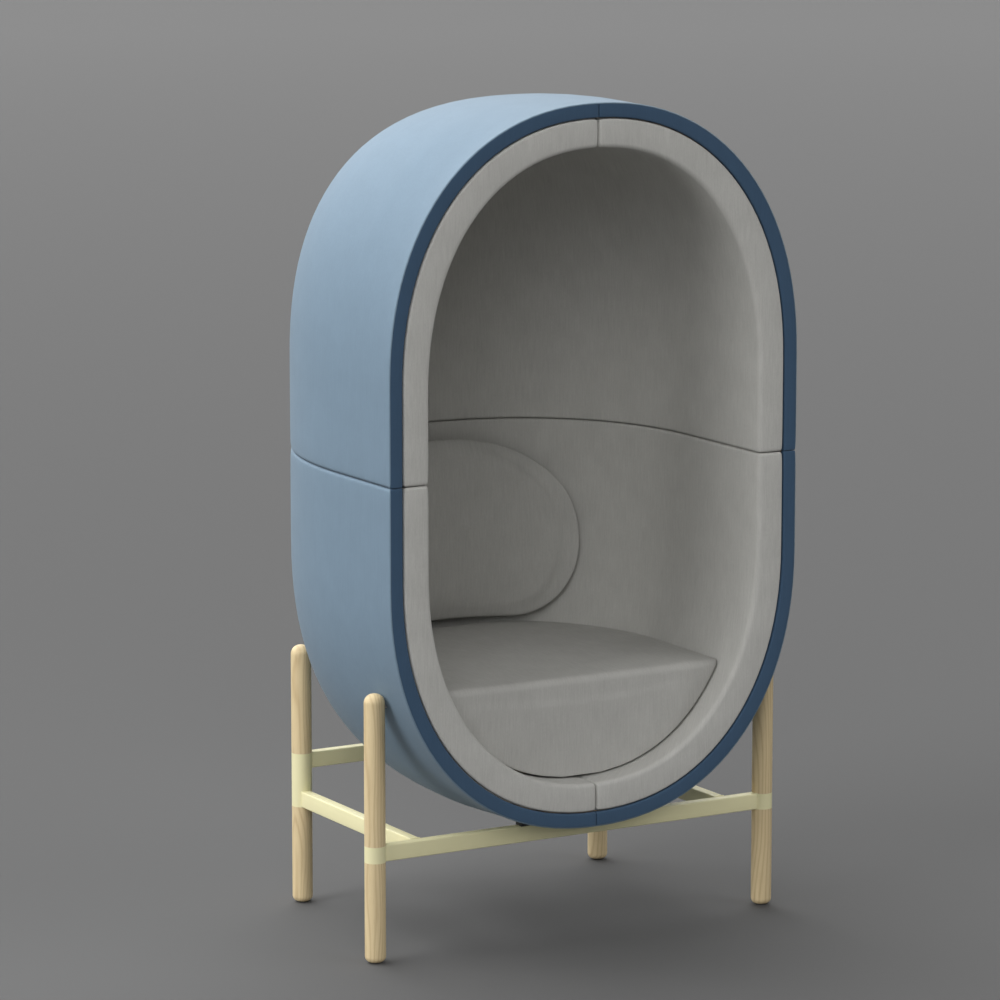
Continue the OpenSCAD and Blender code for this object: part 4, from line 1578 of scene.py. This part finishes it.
    def beads(self, loops: list[list[Vector]]) -> None:
        """Build the weld beads and hand them over.

        Args:
            loops: the points of each joint's closed line.
        """
        size = len(loops[0])
        edges = [(size * k + i, size * k + (i + 1) % size) for k in range(len(loops)) for i in range(size)]
        paths = new_mesh("bead_paths", [tuple(point) for loop in loops for point in loop], edges=edges)
        beads = self.bead_tree().run("weld_beads", paths, radius=self.bead, ripple=self.ripple,
                                     ripple_pitch=self.ripple_pitch)
        hand_over(beads, Body.CHAIR, Slot.FRAME_STEEL, self.palette, [])

    @staticmethod
    def joints() -> dict[str, list[tuple[Vector, float]]]:
        """Return where each rail ends.

        Returns:
            For each rail two ends: the axis and radius of a sleeve, or a flat face's place and 0.
        """
        sleeves = {}
        for end in End:
            for side in Side:
                low, high = sleeve_box(end, side)
                sleeves[end, side] = ((low + high) / 2, (high.x - low.x) / 2)
        joints = {f"{end.label}_rail": [sleeves[end, Side.LEFT], sleeves[end, Side.RIGHT]] for end in End}
        for side in Side:
            node = f"side_rail_{side.label}"
            joints[node] = [(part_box(node)[0], 0.0), sleeves[End.BACK, side]]
        return joints


@dataclass
class LegScrews:
    """The button-head screws that hold the legs in their sleeves."""

    palette: Palette
    head: float = 0.004
    head_height: float = 0.0024
    chamfer: float = 0.0007
    shaft: float = 0.002
    length: float = 0.014
    socket: float = 0.0015
    socket_depth: float = 0.0014
    socket_sides: int = 6
    sides: int = 32
    height_shares: Pair = (0.25, 0.75)

    def tree(self) -> GeometryTree:
        """Write the tree that puts a screw on each point, with its head towards +Y.

        Returns:
            The tree.
        """
        tree = GeometryTree("socket_screw")
        height, radius, chamfer = tree.size("head_height"), tree.size("head"), tree.size("chamfer")
        edge_z = tree.math("SUBTRACT", height, chamfer)
        disc = self.cylinder(tree, self.sides, radius, edge_z)
        raised = tree.add("GeometryNodeExtrudeMesh", None, Mesh=disc.outputs["Mesh"],
                          Selection=disc.outputs["Top"], Offset_Scale=chamfer, Individual=False)
        top_share = tree.math("DIVIDE", tree.math("SUBTRACT", radius, chamfer), radius)
        head = tree.add("GeometryNodeScaleElements", None, Geometry=raised.outputs["Mesh"],
                        Selection=raised.outputs["Top"], Scale=top_share)
        placed = self.moved(tree, head.outputs["Geometry"], tree.math("DIVIDE", edge_z, 2.0))
        depth = tree.size("socket_depth")
        bit = self.cylinder(tree, self.socket_sides, tree.size("socket"), tree.math("MULTIPLY", depth, 2.0))
        cut = tree.add("GeometryNodeMeshBoolean", {"operation": "DIFFERENCE"}, Mesh_1=placed,
                       Mesh_2=self.moved(tree, bit.outputs["Mesh"], height))
        length = tree.size("length")
        shaft = self.cylinder(tree, self.sides, tree.size("shaft"), length)
        sunk = self.moved(tree, shaft.outputs["Mesh"], tree.math("MULTIPLY", length, -0.5))
        whole = tree.add("GeometryNodeMeshBoolean", {"operation": "UNION"}, Mesh_2=cut.outputs["Mesh"])
        tree.set(whole, Mesh_2=sunk)
        screws = tree.add("GeometryNodeInstanceOnPoints", None, Points=tree.start.outputs["Geometry"],
                          Instance=whole.outputs["Mesh"], Rotation=(-math.pi / 2, 0, 0))
        tree.close(screws.outputs["Instances"], self.palette[Slot.FIXING_STEEL])
        return tree

    @staticmethod
    def cylinder(tree: GeometryTree, sides: int, radius: bpy.types.NodeSocket,
                 depth: bpy.types.NodeSocket) -> bpy.types.Node:
        """Add a cylinder that stands round the origin."""
        return tree.add("GeometryNodeMeshCylinder", None, Vertices=sides, Radius=radius, Depth=depth)

    @staticmethod
    def moved(tree: GeometryTree, shape: bpy.types.NodeSocket, up: bpy.types.NodeSocket,
              ) -> bpy.types.NodeSocket:
        """Add a node that lifts a shape."""
        lift = tree.add("ShaderNodeCombineXYZ", None, Z=up).outputs["Vector"]
        return tree.add("GeometryNodeTransform", None, Geometry=shape, Translation=lift).outputs["Geometry"]

    def build(self) -> None:
        """Put two screws behind each sleeve and hand them over."""
        places = []
        for end in End:
            for side in Side:
                low, high = sleeve_box(end, side)
                places += [((low.x + high.x) / 2, high.y, low.z + share * (high.z - low.z))
                           for share in self.height_shares]
        screws = self.tree().run("socket_screws", new_mesh("screw_places", places), head=self.head,
                                 head_height=self.head_height, chamfer=self.chamfer, shaft=self.shaft,
                                 length=self.length, socket=self.socket, socket_depth=self.socket_depth)
        hand_over(screws, Body.CHAIR, Slot.FIXING_STEEL, self.palette, ["leg_screws"])


@dataclass(frozen=True)
class DistantLamp:
    """A soft lamp far away: the direction to it, its strength, and its width in degrees."""

    name: str
    towards: Triple
    power: float
    softness: float


@dataclass
class Studio:
    """A grey floor with painted light falloff, darker near the chair and lighter far off, soft light and a
    camera where the photograph was taken from.
    """

    camera_place: Triple = (-4.31684097, -7.45362487, 2.26458791)
    camera_right: Triple = (0.86528388, -0.50128216, 0.0)
    camera_up: Triple = (0.08603421, 0.14850722, 0.98516177)
    camera_back: Triple = (-0.49384402, -0.85244461, 0.17162832)
    lens: float = 169.793
    sensor: float = 36.0
    floor_size: float = 160.0
    # Painted light falloff: the floor's colour runs from a darker shade near the chair to a lighter one far
    # off.
    near_colour: Colour = (0.118, 0.118, 0.118)
    far_colour: Colour = (0.17, 0.17, 0.17)
    near_reach: float = 1.5
    far_reach: float = 22.0
    sky: Colour = (0.04, 0.04, 0.04)
    lamps: tuple[DistantLamp, ...] = (
        DistantLamp("back_light", (0.0, 0.62, 0.78), 3.6, 80),
        DistantLamp("left_fill", (-0.93, -0.05, 0.36), 1.5, 35),
        DistantLamp("front_left_fill", (-0.52, -0.7, 0.48), 0.9, 40),
        DistantLamp("front_right_fill", (0.62, -0.62, 0.48), 0.8, 45),
    )
    key_place: Triple = (-1.75, 0.25, 2.75)
    key_size: float = 1.2
    key_watts: float = 24.0

    def camera(self) -> None:
        """Create the camera."""
        data = bpy.data.cameras.new("camera")
        data.lens, data.sensor_width = self.lens, self.sensor
        data.clip_end = self.floor_size * 2
        camera = new_object("camera", data)
        axes = Matrix([self.camera_right, self.camera_up, self.camera_back]).transposed()
        camera.matrix_world = Matrix.Translation(self.camera_place) @ axes.to_4x4()
        bpy.context.scene.camera = camera

    def key_lamp(self) -> None:
        """Create the near key lamp, which faces the middle of the chair."""
        data = bpy.data.lights.new("key_light", "AREA")
        data.energy, data.size = self.key_watts, self.key_size
        lamp = new_object("key_light", data)
        place = Vector(self.key_place)
        lamp.location = place
        lamp.rotation_euler = (place - sum(CAD_BOX, Vector()) / 2).to_track_quat("Z", "Y").to_euler()

    @staticmethod
    def distant_lamp(lamp: DistantLamp) -> None:
        """Create a distant lamp.

        Args:
            lamp: its direction, strength and width.
        """
        data = bpy.data.lights.new(lamp.name, "SUN")
        data.energy, data.angle = lamp.power, math.radians(lamp.softness)
        new_object(lamp.name, data).rotation_euler = Vector(lamp.towards).to_track_quat("Z", "Y").to_euler()

    def floor(self) -> None:
        """Lay the floor, coloured darker near the middle and lighter far off as painted light falloff."""
        half = self.floor_size / 2
        corners = [(-half, -half, 0), (half, -half, 0), (half, half, 0), (-half, half, 0)]
        mesh = new_mesh("studio_floor", corners, faces=[(0, 1, 2, 3)])
        tree = ShaderTree("studio_floor", Roughness=0.9, Specular_IOR_Level=0.1)
        away = tree.add("ShaderNodeVectorMath", {"operation": "LENGTH"}, i0=tree.place).outputs["Value"]
        # Painted light falloff: the floor's colour grows lighter with distance from the middle.
        tree.tint(tree.spread(away, self.near_reach, self.far_reach), self.near_colour, self.far_colour)
        mesh.materials.append(tree.material)
        new_object("studio_floor", mesh)

    def build(self) -> None:
        """Build the camera, lights, world and floor."""
        self.camera()
        self.key_lamp()
        for lamp in self.lamps:
            self.distant_lamp(lamp)
        world = bpy.data.worlds.new("studio")
        world.use_nodes = True
        world.node_tree.nodes["Background"].inputs["Color"].default_value = (*self.sky, 1)
        bpy.context.scene.world = world
        self.floor()
        bpy.context.scene.view_settings.view_transform = "Standard"
        log.info("made the studio")


def carried_over() -> dict[str, Slot]:
    """Return the finish of each node that keeps its own shape.

    Returns:
        A slot for each node's name.
    """
    slots = {"flange_dowels": Slot.ASH_WOOD}
    slots |= {node: Slot.BLACK_PLASTIC for node in ("saddles_front", "saddles_back", "floor_glides")}
    slots |= {node: Slot.FIXING_STEEL for node in (
        "flange_bolts", "flange_nuts", "pod_bolts", "pod_inserts", "leg_studs")}
    slots |= {node: Slot.PLYWOOD for node in (
        "seat_deck", "seat_front_board", "seat_rib_left", "seat_rib_right")}
    for half in Half:
        for board in ("shell", "rim_board", "seam_flange"):
            slots[f"{board}_{half.label}"] = Slot.PLYWOOD
    for side in Side:
        for end in End:
            slots[f"leg_post_{end.label}_{side.label}"] = Slot.ASH_WOOD
            slots[f"leg_foot_{end.label}_{side.label}"] = Slot.ASH_WOOD
            slots[f"sleeve_{end.label}_{side.label}"] = Slot.FRAME_STEEL
    return slots


def main() -> None:
    """Build every class in order."""
    logging.basicConfig(level=logging.INFO, format="%(message)s")
    palette = Palette()
    Studio().build()
    pod = PodShape.from_frame()
    OuterCover(pod, palette).build()
    Liner(pod, palette).build()
    SeatCushion(pod, palette).build()
    BackCushion(pod, palette).build()
    SteelFrame(palette).build()
    LegScrews(palette).build()
    palette.dress(carried_over())


if __name__ == "__main__":
    main()
